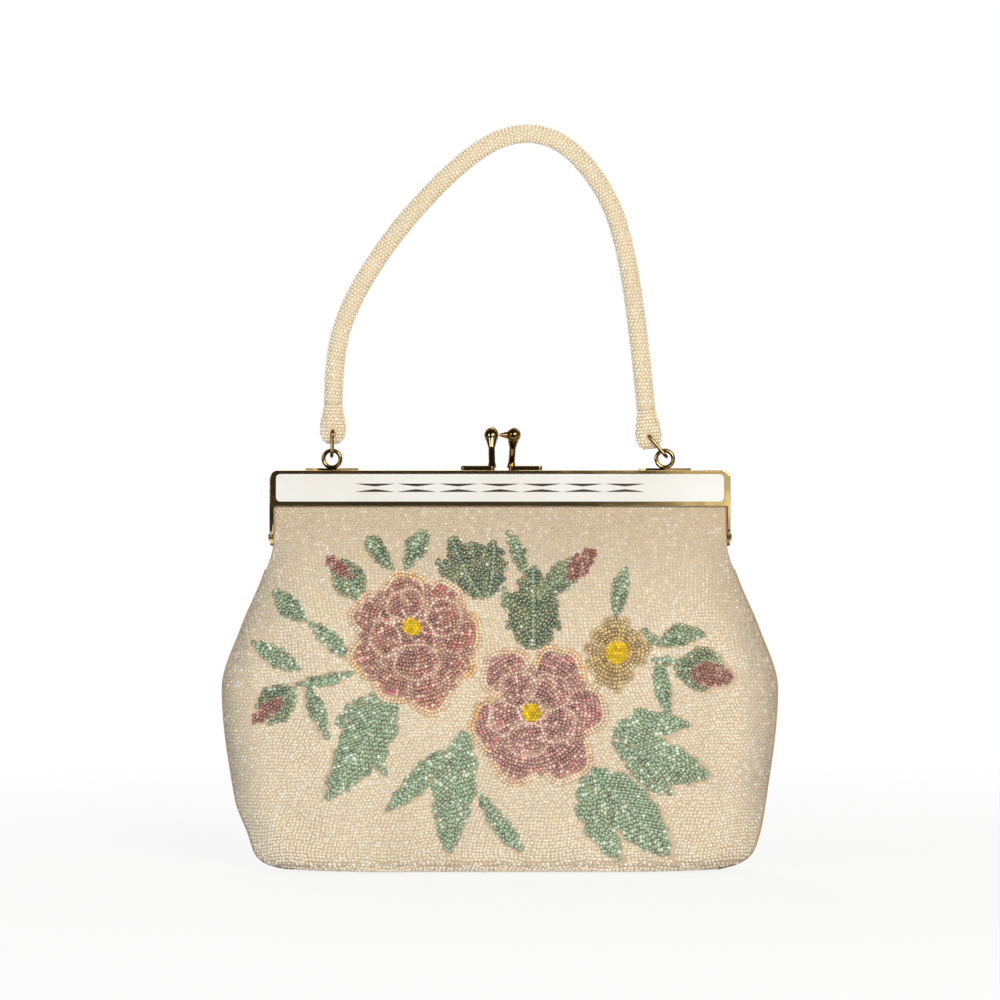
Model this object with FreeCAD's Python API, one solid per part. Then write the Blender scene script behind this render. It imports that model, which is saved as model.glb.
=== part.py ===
"""Kiss lock frame purse: a beaded pouch on a hinged metal frame with a bead-wrapped rope handle.

Millimetres, +Z up, front towards -Y, origin on the floor under the middle of the pouch.
Every piece is its own solid, built where it sits when the purse is closed.
"""
import FreeCAD
import Part
import math
import os

from FreeCAD import Vector

os.makedirs("parts", exist_ok=True)

# Frame
frame_width = 166.0
bar_height = 12.8
half_depth = 5.95
half_gap = 0.15
bar_bottom = 132.2
front_wall = 1.2
back_wall = 0.8
top_wall = 0.9
arm_thickness = 1.0
bar_corner = 3.0
bar_edge_round = 0.35

# Enamel inlay let into the bar
inlay_side_rim = 2.3
inlay_top_rim = 1.3
inlay_bottom_rim = 1.5
inlay_recess = 0.6
inlay_proud = 0.15
inlay_fit = 0.05
inlay_corner = 1.6

# Chain of engraved marks on the inlay
mark_count = 7
mark_pitch = 15.0
mark_half_length = 7.3
mark_half_height = 1.5
mark_waist = 0.5
mark_sag_share = 0.62
mark_sag_at = 0.45
mark_depth = 0.2

# Hinge
hinge_z = 121.0
ear_radius = 3.4
ear_thickness = 1.1
ear_side_gap = 0.2
ear_turn_gap = 0.35
ear_step_gap = 0.6
arm_round = 2.7
rivet_radius = 1.0
rivet_clearance = 0.05
rivet_head_radius = 1.7
rivet_face_radius = 1.0
rivet_head_height = 0.6
rivet_head_gap = 0.1
open_angle = 30.0

# Pouch: height, half width and half depth at each level
base_half_width = 64.0
base_half_depth = 12.5
toe_z = 1.4
toe_half_width = 79.0
toe_half_depth = 15.4
heel_z = 6.5
heel_half_width = 89.8
heel_half_depth = 17.8
lower_z = 26.0
lower_half_width = 95.6
lower_half_depth = 19.3
belly_z = 66.0
belly_half_width = 100.4
belly_half_depth = 18.6
shoulder_z = 88.0
shoulder_half_width = 93.8
shoulder_half_depth = 14.6
collar_drop = 17.0
collar_flare = 4.2
collar_half_depth = 10.6
throat_drop = 8.0
throat_flare = 0.68
throat_half_depth = 8.0
neck_inset = 0.6
base_squareness = 4.2
lower_squareness = 3.2
belly_squareness = 2.5
collar_squareness = 4.0
neck_squareness = 8.0
section_power = 0.7
wall_rings = 12
panel_thickness = 2.0
lining_gap = 0.2
lining_thickness = 0.6
lining_clearance = 0.45
lining_notch = 3.0
pouch_clearance = 0.35

# Cloth band and filler cord held in each half of the frame
band_thickness = 1.5
band_wall_gap = 0.05
band_top_gap = 1.6
band_side_gap = 0.3
cord_gap = 0.06
cord_below_top = 5.0

# Clasp
foot_length = 12.2
foot_width = 3.3
foot_height = 1.7
foot_corner = 1.15
foot_round = 0.5
foot_overhang = 1.0
stem_radius = 1.2
stem_sink = 0.52
collar_radius = 1.6
collar_height = 2.1
stem_pin_radius = 0.9
stem_pin_clearance = 0.03
stem_pin_length = 1.6
stem_pin_end_gap = 0.2
ball_centre_rise = 12.8
ball_crossing = 1.2
taper_length = 5.0
ball_low_turn = -36.87
ball_points = 6
front_stem_x = -2.9
front_ball_x = -3.1
front_ball_radius = 2.6
front_ball_half_height = 3.1
back_stem_x = 4.1
back_ball_x = 4.9
back_ball_radius = 2.65
nib_radius = 1.5
nib_tip_radius = 0.5
nib_gap = 0.25
nib_sink = 0.77

# Handle eyes on the back half
eye_radius = 3.05
eye_wire = 0.75
eye_centre_rise = 4.2
plate_length = 19.0
plate_width = 4.2
plate_thickness = 0.8

# Handle route from left end to right end: across and up from the top of the frame
handle_route = [
    (-60.4, 24.0),
    (-60.2, 41.5),
    (-54.7, 60.2),
    (-40.3, 83.5),
    (-21.0, 105.4),
    (-4.6, 118.8),
    (9.4, 123.0),
    (22.9, 119.2),
    (35.2, 106.2),
    (43.9, 88.5),
    (49.8, 54.5),
    (52.9, 22.0),
]
handle_radius = 3.1
core_radius = 1.9
core_gap = 0.1
bend_share = 0.45

# Sewn end tabs and the wire links that tie them to the eyes
tab_half_width = 4.7
tab_half_thickness = 1.6
tab_hole_drop = 9.5
tab_tip_drop = 4.4
tab_hole_radius = 1.15
tab_swell = 0.4
tab_ring_points = 16
left_link_lean = 2.0
right_link_lean = -35.0
link_wire = 0.6
link_eye_gap = 0.8
link_slip = 2.0
link_bend = 1.6
link_tab_gap = 0.3

# Sizes that follow from the ones above
frame_top = bar_bottom + bar_height
half_width = frame_width / 2
inner_half = half_width - arm_thickness
half_middle = (half_depth + half_gap) / 2
eye_y = half_middle
eye_z = frame_top + eye_centre_rise
neck_half_width = half_width - neck_inset
neck_half_depth = half_depth
band_front = half_depth - front_wall - band_wall_gap
band_back = band_front - band_thickness
rivet_inner = inner_half - ear_side_gap - ear_thickness - rivet_head_gap
over = 1.0
beyond = 2 * (belly_half_width + frame_top)


def box(x0, x1, y0, y1, z0, z1):
    return Part.makeBox(x1 - x0, y1 - y0, z1 - z0, Vector(x0, y0, z0))


def rod_x(radius, x0, x1, y=0.0, z=hinge_z):
    return Part.makeCylinder(radius, x1 - x0, Vector(x0, y, z), Vector(1, 0, 0))


def mirror_x(shape):
    return shape.mirror(Vector(0, 0, 0), Vector(1, 0, 0))


def mirror_y(shape):
    return shape.mirror(Vector(0, 0, 0), Vector(0, 1, 0))


def save(shape, name):
    shape = shape.removeSplitter()
    print(name, "solids", len(shape.Solids), "volume", round(shape.Volume, 1), "valid", shape.isValid())
    shape.exportStep("parts/" + name + ".step")


def rounded_slab(half_x, z0, z1, y0, y1, radius):
    slab = box(-half_x, half_x, y0, y1, z0, z1)
    corners = [e for e in slab.Edges if abs(e.Length - (y1 - y0)) < 1e-6 and len(e.Vertexes) == 2
               and abs(e.Vertexes[0].X - e.Vertexes[1].X) < 1e-6
               and abs(e.Vertexes[0].Z - e.Vertexes[1].Z) < 1e-6]
    return slab.makeFillet(radius, corners)


# Half frame: a channel open downwards, with an arm and a hinge ear at each end

def channel():
    bar = box(-half_width, half_width, -half_depth, -half_gap, bar_bottom, frame_top)
    top_corners = [e for e in bar.Edges if e.BoundBox.ZLength < 1e-6 and e.BoundBox.XLength < 1e-6
                   and e.BoundBox.ZMin > frame_top - 1e-6]
    bar = bar.makeFillet(bar_corner, top_corners)
    rim = [e for e in bar.Edges if e.BoundBox.YLength < 1e-6 and e.BoundBox.YMin < -half_depth + 1e-6
           and e.BoundBox.ZMax > bar_bottom + 1e-6]
    bar = bar.makeFillet(bar_edge_round, rim)
    hollow = box(-inner_half, inner_half, -half_depth + front_wall, -half_gap - back_wall,
                 bar_bottom - over, frame_top - top_wall)
    hollow_ends = [e for e in hollow.Edges if e.BoundBox.ZLength < 1e-6 and e.BoundBox.XLength < 1e-6
                   and e.BoundBox.ZMin > frame_top - top_wall - 1e-6]
    hollow = hollow.makeFillet(bar_corner - top_wall, hollow_ends)
    bar = bar.cut(hollow)
    seat = rounded_slab(half_width - inlay_side_rim, bar_bottom + inlay_bottom_rim, frame_top - inlay_top_rim,
                        -half_depth - over, -half_depth + inlay_recess, inlay_corner)
    return bar.cut(seat)


def arm(x0, x1):
    strip = box(x0, x1, -half_depth, -half_gap, hinge_z, bar_bottom + over)
    lower = [e for e in strip.Edges if e.BoundBox.YLength < 1e-6 and e.BoundBox.ZLength < 1e-6
             and e.BoundBox.YMin < -half_depth + 1e-6 and e.BoundBox.ZMin < hinge_z + 1e-6]
    return strip.makeFillet(arm_round, lower)


def front_frame():
    shape = channel()
    side = arm(inner_half, half_width).fuse(rod_x(ear_radius, inner_half, half_width))
    side = side.cut(rod_x(rivet_radius + rivet_clearance, inner_half - over, half_width + over))
    return shape.fuse([side, mirror_x(side)])


def back_frame():
    shape = channel()
    ear_out = inner_half - ear_side_gap
    ear_in = ear_out - ear_thickness
    outer = arm(inner_half, half_width)
    outer = outer.cut(rod_x(ear_radius + ear_turn_gap, inner_half - over, half_width + over))
    ear = arm(ear_in, ear_out).fuse(rod_x(ear_radius, ear_in, ear_out))
    ear_top = bar_bottom - band_side_gap
    ear = ear.cut(box(ear_in - over, ear_out + over, -half_depth - over, half_depth, ear_top, frame_top))
    step_z = hinge_z + ear_radius + ear_turn_gap + ear_step_gap
    step = box(ear_in, half_width, -half_depth, -half_gap, step_z, ear_top)
    side = outer.fuse([ear, step])
    side = side.cut(rod_x(rivet_radius + rivet_clearance, ear_in - over, half_width + over))
    return mirror_y(shape.fuse([side, mirror_x(side)]))


def rivet():
    shank_in = rivet_inner
    shank_out = half_width + rivet_head_gap
    pin = rod_x(rivet_radius, shank_in - rivet_head_height, shank_out + rivet_head_height)
    tail = rod_x(rivet_head_radius, shank_in - rivet_head_height, shank_in)
    head = Part.makeCone(rivet_head_radius, rivet_face_radius, rivet_head_height,
                         Vector(shank_out, 0, hinge_z), Vector(1, 0, 0))
    return pin.fuse([tail, head])


# Enamel strip with the chain of marks

def mark_outline(middle_x, lift):
    def point(across, up):
        return Vector(middle_x + across, 0, inlay_middle_z + lift * up)
    left = point(-mark_half_length, mark_half_height)
    right = point(mark_half_length, mark_half_height)
    waist = point(0, mark_waist)
    sag = mark_half_height - (mark_half_height - mark_waist) * mark_sag_share
    reach = mark_half_length * mark_sag_at
    edges = [
        Part.makeLine(left, right),
        Part.Arc(right, point(reach, sag), waist).toShape(),
        Part.Arc(waist, point(-reach, sag), left).toShape(),
    ]
    return Part.Face(Part.Wire(edges))


inlay_middle_z = (bar_bottom + inlay_bottom_rim + frame_top - inlay_top_rim) / 2
inlay_face_y = -half_depth - inlay_proud


def marks():
    solids = []
    for index in range(mark_count):
        middle_x = (index - (mark_count - 1) / 2) * mark_pitch
        for lift in (1, -1):
            face = mark_outline(middle_x, lift)
            face.translate(Vector(0, inlay_face_y, 0))
            solids.append(face.extrude(Vector(0, mark_depth, 0)))
    return Part.makeCompound(solids)


def inlay():
    slab = rounded_slab(half_width - inlay_side_rim - inlay_fit, bar_bottom + inlay_bottom_rim + inlay_fit,
                        frame_top - inlay_top_rim - inlay_fit, inlay_face_y, -half_depth + inlay_recess, inlay_corner)
    return slab.cut(marks().Solids)


# Pouch of two beaded panels and a lining

def pouch_levels():
    return [
        (0.0, base_half_width, base_half_depth, base_squareness),
        (toe_z, toe_half_width, toe_half_depth, base_squareness),
        (heel_z, heel_half_width, heel_half_depth, base_squareness),
        (lower_z, lower_half_width, lower_half_depth, lower_squareness),
        (belly_z, belly_half_width, belly_half_depth, belly_squareness),
        (shoulder_z, shoulder_half_width, shoulder_half_depth, belly_squareness),
        (hinge_z - collar_drop, neck_half_width + collar_flare, collar_half_depth, collar_squareness),
        (hinge_z - throat_drop, neck_half_width + throat_flare, throat_half_depth, neck_squareness),
        (hinge_z, neck_half_width, neck_half_depth, neck_squareness),
    ]


def smooth_slopes(zs, values):
    steps = [b - a for a, b in zip(zs, zs[1:])]
    rises = [(b - a) / h for a, b, h in zip(values, values[1:], steps)]
    slopes = [rises[0]]
    for left, right in zip(rises, rises[1:]):
        slopes.append(0.0 if left * right <= 0 else 2 * left * right / (left + right))
    slopes.append(rises[-1])
    return slopes


def between(zs, values, z):
    slopes = smooth_slopes(zs, values)
    index = 0
    while index < len(zs) - 2 and z > zs[index + 1]:
        index += 1
    step = zs[index + 1] - zs[index]
    t = (z - zs[index]) / step
    start = (1 + 2 * t) * (1 - t) ** 2 * values[index] + t * (1 - t) ** 2 * step * slopes[index]
    end = t * t * (3 - 2 * t) * values[index + 1] + t * t * (t - 1) * step * slopes[index + 1]
    return start + end


def ring_at(z, wide, deep, square):
    stops = [0.0, 0.22, 0.42, 0.6, 0.75, 0.86, 0.93, 0.97, 0.99, 1.0]
    stops = [-v for v in reversed(stops[1:])] + stops
    edges = []
    for side in (-1, 1):
        points = [Vector(-side * wide * v, side * deep * (1 - abs(v) ** square) ** section_power, z) for v in stops]
        curve = Part.BSplineCurve()
        curve.interpolate(points)
        edges.append(curve.toShape())
    return Part.Wire(edges)


def pouch_solid(inset, floor, rise):
    levels = pouch_levels()
    zs = [level[0] for level in levels]
    top = zs[-1]

    def ring(z):
        wide, deep, square = (between(zs, [level[k] for level in levels], z) for k in (1, 2, 3))
        return ring_at(floor + z * (top - floor) / top, wide - inset, deep - inset, square)

    foot = Part.makeLoft([ring(z) for z in (0.0, toe_z, (toe_z + heel_z) / 2, heel_z)], True, True)
    walls = [ring(heel_z + (top - heel_z) * index / wall_rings) for index in range(wall_rings + 1)]
    body = foot.fuse(Part.makeLoft(walls, True, False))
    if rise > 0:
        z, wide, deep, square = levels[-1]
        lip = ring_at(z, wide - inset, deep - inset, square)
        cap = Part.makeLoft([lip, ring_at(z + rise, wide - inset, deep - inset, square)], True, True)
        body = body.fuse(cap)
    return body


def notched(shell, extra):
    room_in = rivet_inner - rivet_head_height - pouch_clearance - extra
    room = box(room_in, beyond, -beyond, beyond, hinge_z - ear_radius - pouch_clearance, beyond)
    return shell.cut([room, mirror_x(room)])


def panels():
    shell = pouch_solid(0, 0, 0).cut(pouch_solid(panel_thickness, panel_thickness, over))
    shell = notched(shell, 0)
    front = shell.common(box(-beyond, beyond, -beyond, 0, -over, beyond))
    back = shell.common(box(-beyond, beyond, 0, beyond, -over, beyond))
    return front, back


def lining():
    outer_inset = panel_thickness + lining_gap
    inner_inset = outer_inset + lining_thickness
    swing = math.hypot(band_back, band_bottom() - hinge_z)
    rise = math.sqrt(swing ** 2 - (neck_half_depth - outer_inset) ** 2) - lining_clearance
    shell = pouch_solid(outer_inset, outer_inset, rise)
    shell = shell.cut(pouch_solid(inner_inset, inner_inset, rise + over))
    return notched(shell, lining_notch)


# Cloth band and filler cord in a half frame

def band_bottom():
    swing = math.radians(open_angle)
    return hinge_z + (pouch_clearance + band_front * math.sin(swing)) / math.cos(swing)


def band():
    ear_in = inner_half - ear_side_gap - ear_thickness
    low = box(-ear_in + band_side_gap, ear_in - band_side_gap, -band_front, -band_back, band_bottom(), bar_bottom)
    high_half = inner_half - bar_corner
    high = box(-high_half, high_half, -band_front, -band_back, bar_bottom - over, frame_top - top_wall - band_top_gap)
    return low.fuse(high)


def filler_cord():
    room = band_back - half_gap - back_wall
    radius = (room - 2 * cord_gap) / 2
    high_half = inner_half - bar_corner
    return rod_x(radius, -high_half, high_half, -(half_gap + back_wall + room / 2), frame_top - cord_below_top)


# Clasp: a foot on the top of the bar, a leaning stem and a ball

def clasp_axis(stem_x, ball_x, base_y):
    root = Vector(stem_x, base_y, frame_top + foot_height)
    crossing = -ball_crossing if base_y > 0 else ball_crossing
    ball = Vector(ball_x, crossing, frame_top + ball_centre_rise)
    return root, ball


def clasp_stem(stem_x, ball_x, base_y):
    outward = -1 if base_y < 0 else 1
    half = foot_width / 2
    near = stem_x - outward * foot_overhang
    far = near + outward * foot_length
    foot = box(min(near, far), max(near, far), base_y - half, base_y + half, frame_top, frame_top + foot_height)
    ends = [e for e in foot.Edges if abs(e.Length - foot_height) < 1e-6]
    foot = foot.makeFillet(foot_corner, ends)
    rim = [e for e in foot.Edges if e.BoundBox.ZMin > frame_top + foot_height - 1e-6]
    foot = foot.makeFillet(foot_round, rim)
    root, ball = clasp_axis(stem_x, ball_x, base_y)
    axis = ball.sub(root)
    run = axis.Length - taper_length
    axis.normalize()
    start = root.sub(Vector(axis).multiply(stem_sink))
    stem = Part.makeCylinder(stem_radius, run + stem_sink, start, axis)
    low = root.sub(Vector(axis).multiply(foot_round))
    collar = Part.makeCone(collar_radius, stem_radius, collar_height, low, axis)
    top = root.add(Vector(axis).multiply(run))
    pin = Part.makeCylinder(stem_pin_radius, stem_pin_length, top, axis)
    return foot.fuse([stem, collar, pin])


def clasp_ball(stem_x, ball_x, base_y, radius, half_height):
    root, ball = clasp_axis(stem_x, ball_x, base_y)
    axis = ball.sub(root)
    axis.normalize()
    low_angle = math.radians(ball_low_turn)
    turns = [low_angle + (math.pi / 2 - low_angle) * step / ball_points for step in range(ball_points)]
    points = [Vector(radius * math.cos(t), 0, half_height * math.sin(t)) for t in turns]
    points.append(Vector(0, 0, half_height))
    outline = Part.BSplineCurve()
    rising = Vector(-radius * math.sin(low_angle), 0, half_height * math.cos(low_angle))
    outline.interpolate(points, InitialTangent=rising, FinalTangent=Vector(-1, 0, 0))
    bore = stem_pin_radius + stem_pin_clearance
    foot = -taper_length
    bore_top = foot + stem_pin_length + stem_pin_end_gap
    edges = [
        Part.makeLine(Vector(bore, 0, foot), Vector(stem_radius, 0, foot)),
        Part.makeLine(Vector(stem_radius, 0, foot), points[0]),
        outline.toShape(),
        Part.makeLine(points[-1], Vector(0, 0, bore_top)),
        Part.makeLine(Vector(0, 0, bore_top), Vector(bore, 0, bore_top)),
        Part.makeLine(Vector(bore, 0, bore_top), Vector(bore, 0, foot)),
    ]
    knob = Part.Face(Part.Wire(edges)).revolve(Vector(0, 0, 0), Vector(0, 0, 1), 360)
    knob.Placement = FreeCAD.Placement(ball, FreeCAD.Rotation(Vector(0, 0, 1), axis))
    return knob


def nib():
    tip_x = front_ball_x + front_ball_radius + nib_gap
    start_x = back_ball_x - back_ball_radius + nib_sink
    return Part.makeCone(nib_radius, nib_tip_radius, start_x - tip_x,
                         Vector(start_x, -ball_crossing, frame_top + ball_centre_rise), Vector(-1, 0, 0))


# Handle, its end tabs, links and eyes

def route_points():
    return [Vector(x, eye_y, frame_top + up) for x, up in handle_route]


def route_wire(points):
    edges = []
    last = points[0]
    for before, corner, after in zip(points, points[1:], points[2:]):
        inward = before.sub(corner)
        outward = after.sub(corner)
        reach = bend_share * min(inward.Length, outward.Length)
        half_turn = (math.pi - inward.getAngle(outward)) / 2
        print("handle bend radius", round(reach / math.tan(half_turn), 1))
        inward.normalize()
        outward.normalize()
        start = corner.add(Vector(inward).multiply(reach))
        end = corner.add(Vector(outward).multiply(reach))
        middle = inward.add(outward)
        middle.normalize()
        radius = reach / math.tan(half_turn)
        sag = radius / math.cos(half_turn) - radius
        edges.append(Part.makeLine(last, start))
        edges.append(Part.Arc(start, corner.add(middle.multiply(sag)), end).toShape())
        last = end
    edges.append(Part.makeLine(last, points[-1]))
    return Part.Wire(edges)


def swept(wire, points, radius):
    first = points[1].sub(points[0])
    ring = Part.Wire([Part.makeCircle(radius, points[0], first)])
    rod = wire.makePipeShell([ring], True, False)
    expected = math.pi * radius ** 2 * wire.Length
    print("swept volume against section times length", round(rod.Volume / expected, 4))
    return rod


def end_frame(points):
    end, inner = points
    along = inner.sub(end)
    along.normalize()
    hole = end.sub(Vector(along).multiply(tab_hole_drop))
    return end, hole, along


def tab(points):
    end, hole, along = end_frame(points)
    across = along.cross(Vector(0, 1, 0))
    middle_width = (handle_radius + tab_half_width) / 2
    middle_thickness = (handle_radius + tab_half_thickness) / 2
    levels = [
        (tab_hole_drop, handle_radius, handle_radius),
        (tab_hole_drop * 0.7, handle_radius + tab_swell, handle_radius),
        (tab_hole_drop * 0.3, middle_width + tab_swell, middle_thickness),
        (0.0, tab_half_width, tab_half_thickness),
        (-tab_tip_drop * 0.55, tab_half_width * 0.84, tab_half_thickness * 0.86),
        (-tab_tip_drop, tab_half_width * 0.4, tab_half_thickness * 0.5),
    ]
    rings = []
    for height, wide, thick in levels:
        middle = hole.add(Vector(along).multiply(height))
        ring = []
        for step in range(tab_ring_points):
            turn = 2 * math.pi * step / tab_ring_points
            side = Vector(across).multiply(wide * math.cos(turn))
            ring.append(middle.add(side).add(Vector(0, thick * math.sin(turn), 0)))
        curve = Part.BSplineCurve()
        curve.interpolate(ring, PeriodicFlag=True)
        rings.append(Part.Wire([curve.toShape()]))
    body = Part.makeLoft(rings, True, False)
    start = Vector(hole.x, hole.y - beyond, hole.z)
    return body.cut(Part.makeCylinder(tab_hole_radius, 2 * beyond, start, Vector(0, 1, 0)))


def eye_middle(points, lean):
    end, hole, along = end_frame(points)
    return Vector(hole.x - (hole.z - eye_z) * math.tan(math.radians(lean)), eye_y, eye_z)


def link_line(points, lean):
    middle = eye_middle(points, lean)
    end, hole, along = end_frame(points)
    up = hole.sub(middle)
    up.normalize()
    pivot = middle.add(Vector(up).multiply(eye_radius))
    return pivot, hole, up


def link(points, lean):
    pivot, hole, up = link_line(points, lean)
    low = pivot.sub(Vector(up).multiply(eye_wire + link_eye_gap + link_wire))
    low.x -= link_slip * math.sin(math.radians(lean))
    half = tab_half_thickness + link_tab_gap + link_wire
    side = Vector(0, half, 0)
    corners = [low.sub(side), hole.sub(side), hole.add(side), low.add(side)]
    edges = []
    starts = []
    for index in range(4):
        corner = corners[index]
        before = corners[index - 1].sub(corner)
        after = corners[(index + 1) % 4].sub(corner)
        before.normalize()
        after.normalize()
        start = corner.add(Vector(before).multiply(link_bend))
        end = corner.add(Vector(after).multiply(link_bend))
        middle = corner.add(before.add(after).multiply(link_bend * (1 - math.sqrt(0.5))))
        starts.append((start, end))
        edges.append(Part.Arc(start, middle, end).toShape())
    for index in range(4):
        edges.append(Part.makeLine(starts[index][1], starts[(index + 1) % 4][0]))
    loop = Part.Wire(Part.__sortEdges__(edges))
    first = loop.OrderedEdges[0]
    begin = first.valueAt(first.FirstParameter)
    heading = first.tangentAt(first.FirstParameter)
    ring = Part.Wire([Part.makeCircle(link_wire, begin, heading)])
    return loop.makePipeShell([ring], True, False)


def eye(points, lean):
    middle = eye_middle(points, lean)
    ring = Part.makeTorus(eye_radius, eye_wire, middle, Vector(0, 1, 0))
    return ring.cut(box(-beyond, beyond, -beyond, beyond, 0, frame_top + plate_thickness))


def eye_plate(points, lean):
    middle = eye_middle(points, lean)
    half = plate_length / 2
    wide = plate_width / 2
    tips = (Vector(middle.x - half, eye_y, frame_top), Vector(middle.x + half, eye_y, frame_top))
    edges = [
        Part.Arc(tips[0], Vector(middle.x, eye_y - wide, frame_top), tips[1]).toShape(),
        Part.Arc(tips[1], Vector(middle.x, eye_y + wide, frame_top), tips[0]).toShape(),
    ]
    return Part.Face(Part.Wire(edges)).extrude(Vector(0, 0, plate_thickness))


save(front_frame(), "front_frame")
save(back_frame(), "back_frame")
save(rivet(), "right_rivet")
save(mirror_x(rivet()), "left_rivet")

save(inlay(), "front_inlay")
save(mirror_y(inlay()), "back_inlay")
marks().exportStep("parts/front_marks.step")
mirror_y(marks()).exportStep("parts/back_marks.step")

front_side, back_side = panels()
save(front_side, "front_panel")
save(back_side, "back_panel")
save(lining(), "lining")

save(band(), "front_band")
save(mirror_y(band()), "back_band")
save(filler_cord(), "front_filler")
save(mirror_y(filler_cord()), "back_filler")

save(clasp_stem(front_stem_x, front_ball_x, -half_middle), "front_clasp_stem")
save(clasp_ball(front_stem_x, front_ball_x, -half_middle, front_ball_radius, front_ball_half_height),
     "front_clasp_ball")
save(clasp_stem(back_stem_x, back_ball_x, half_middle), "back_clasp_stem")
save(clasp_ball(back_stem_x, back_ball_x, half_middle, back_ball_radius, back_ball_radius).fuse(nib()),
     "back_clasp_ball")

route = route_points()
handle_line = route_wire(route)
core = swept(handle_line, route, core_radius)
cover = swept(handle_line, route, handle_radius).cut(swept(handle_line, route, core_radius + core_gap))
save(cover, "handle_cover")
save(core, "handle_core")

left_end = (route[0], route[1])
right_end = (route[-1], route[-2])
save(tab(left_end), "left_tab")
save(tab(right_end), "right_tab")
save(link(left_end, left_link_lean), "left_link")
save(link(right_end, right_link_lean), "right_link")
save(eye(left_end, left_link_lean), "left_eye")
save(eye(right_end, right_link_lean), "right_eye")
save(eye_plate(left_end, left_link_lean), "left_eye_plate")
save(eye_plate(right_end, right_link_lean), "right_eye_plate")

for name, ends, lean in (("left", left_end, left_link_lean), ("right", right_end, right_link_lean)):
    pivot, hole, up = link_line(ends, lean)
    print(name, "link turns at", pivot, "and holds the tab at", hole)
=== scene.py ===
import bpy
import math
import numpy as np
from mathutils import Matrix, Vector


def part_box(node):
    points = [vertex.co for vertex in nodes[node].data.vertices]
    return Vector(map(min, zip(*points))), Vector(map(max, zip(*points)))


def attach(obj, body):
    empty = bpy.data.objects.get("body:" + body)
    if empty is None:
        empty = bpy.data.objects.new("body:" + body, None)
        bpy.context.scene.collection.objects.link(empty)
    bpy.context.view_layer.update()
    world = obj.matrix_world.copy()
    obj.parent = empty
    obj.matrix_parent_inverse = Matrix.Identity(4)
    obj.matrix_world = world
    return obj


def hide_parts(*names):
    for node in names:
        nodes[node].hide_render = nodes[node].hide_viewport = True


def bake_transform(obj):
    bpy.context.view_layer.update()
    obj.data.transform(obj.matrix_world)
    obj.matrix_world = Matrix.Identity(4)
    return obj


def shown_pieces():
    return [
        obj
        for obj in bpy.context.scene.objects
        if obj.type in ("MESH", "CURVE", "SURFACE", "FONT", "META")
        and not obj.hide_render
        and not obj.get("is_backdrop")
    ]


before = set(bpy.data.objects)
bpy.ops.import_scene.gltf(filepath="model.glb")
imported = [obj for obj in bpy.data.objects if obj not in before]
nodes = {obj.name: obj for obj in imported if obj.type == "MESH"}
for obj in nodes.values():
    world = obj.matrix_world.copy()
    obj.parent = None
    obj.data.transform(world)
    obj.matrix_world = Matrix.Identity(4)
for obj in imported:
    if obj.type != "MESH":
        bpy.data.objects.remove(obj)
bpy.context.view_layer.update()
scene = bpy.context.scene
mm = 0.001
tiny = 1e-9
dice = np.random.default_rng(11)
print("frame loaded with", len(nodes), "nodes")


# small helpers

def paint(red, green, blue):
    parts = np.array([red, green, blue], float) / 255
    return tuple(np.where(parts <= 0.04045, parts / 12.92, ((parts + 0.055) / 1.055) ** 2.4))


def feedNode(node, feeds, made):
    # "name.Socket" links a node made before, and anything else is a plain value
    for label, value in feeds.items():
        if isinstance(value, str) and "." in value:
            name, socket = value.split(".")
            node.id_data.links.new(made[name].outputs[socket], node.inputs[label])
        else:
            node.inputs[label].default_value = value


def growTree(tree, plan, known=None):
    # an entry of the plan holds a node's kind (a bare one is a shader node), its feeds and its settings
    made = dict(known or {})
    for name, (kind, feeds, *settings) in plan.items():
        made[name] = tree.nodes.new(kind if "Node" in kind else "ShaderNode" + kind)
        for key, value in dict(*settings).items():
            setattr(made[name], key, value)
        feedNode(made[name], feeds, made)
    return made


def newObject(name, mesh, material=None):
    made = bpy.data.objects.new(name, mesh)
    scene.collection.objects.link(made)
    if material:
        mesh.materials.append(material)
    return made


def smoothMesh(mesh):
    mesh.polygons.foreach_set("use_smooth", np.ones(len(mesh.polygons), bool))
    mesh.update()


def plainMesh(source):
    graph = bpy.context.evaluated_depsgraph_get()
    return bpy.data.meshes.new_from_object(
        source.evaluated_get(graph), preserve_all_data_layers=True, depsgraph=graph)


def cordCurve(name, kind, places, radius, sides):
    data = bpy.data.curves.new(name, "CURVE")
    data.dimensions = "3D"
    data.bevel_depth = radius * mm
    data.bevel_resolution = sides
    data.use_fill_caps = True
    spline = data.splines.new(kind)
    spline.points.add(len(places) - 1)
    for point, place in zip(spline.points, places):
        point.co = (*(place * mm), 1)
    made = bpy.data.objects.new(name, data)
    scene.collection.objects.link(made)
    return made


def runLengths(path):
    return np.r_[0, np.cumsum(np.linalg.norm(np.diff(path, axis=0), axis=1))]


# shader groups shared by several finishes

def newGroup(name, inputs, plan, results):
    tree = bpy.data.node_groups.new(name, "ShaderNodeTree")
    for label, value in inputs.items():
        kind = "NodeSocketColor" if isinstance(value, tuple) else "NodeSocketFloat"
        tree.interface.new_socket(label, in_out="INPUT", socket_type=kind).default_value = value
    for label in results:
        kind = "NodeSocketColor" if label == "Colour" else "NodeSocketFloat"
        tree.interface.new_socket(label, in_out="OUTPUT", socket_type=kind)
    growTree(tree, {"enter": ("NodeGroupInput", {}), **plan, "leave": ("NodeGroupOutput", results)})
    return tree


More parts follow.
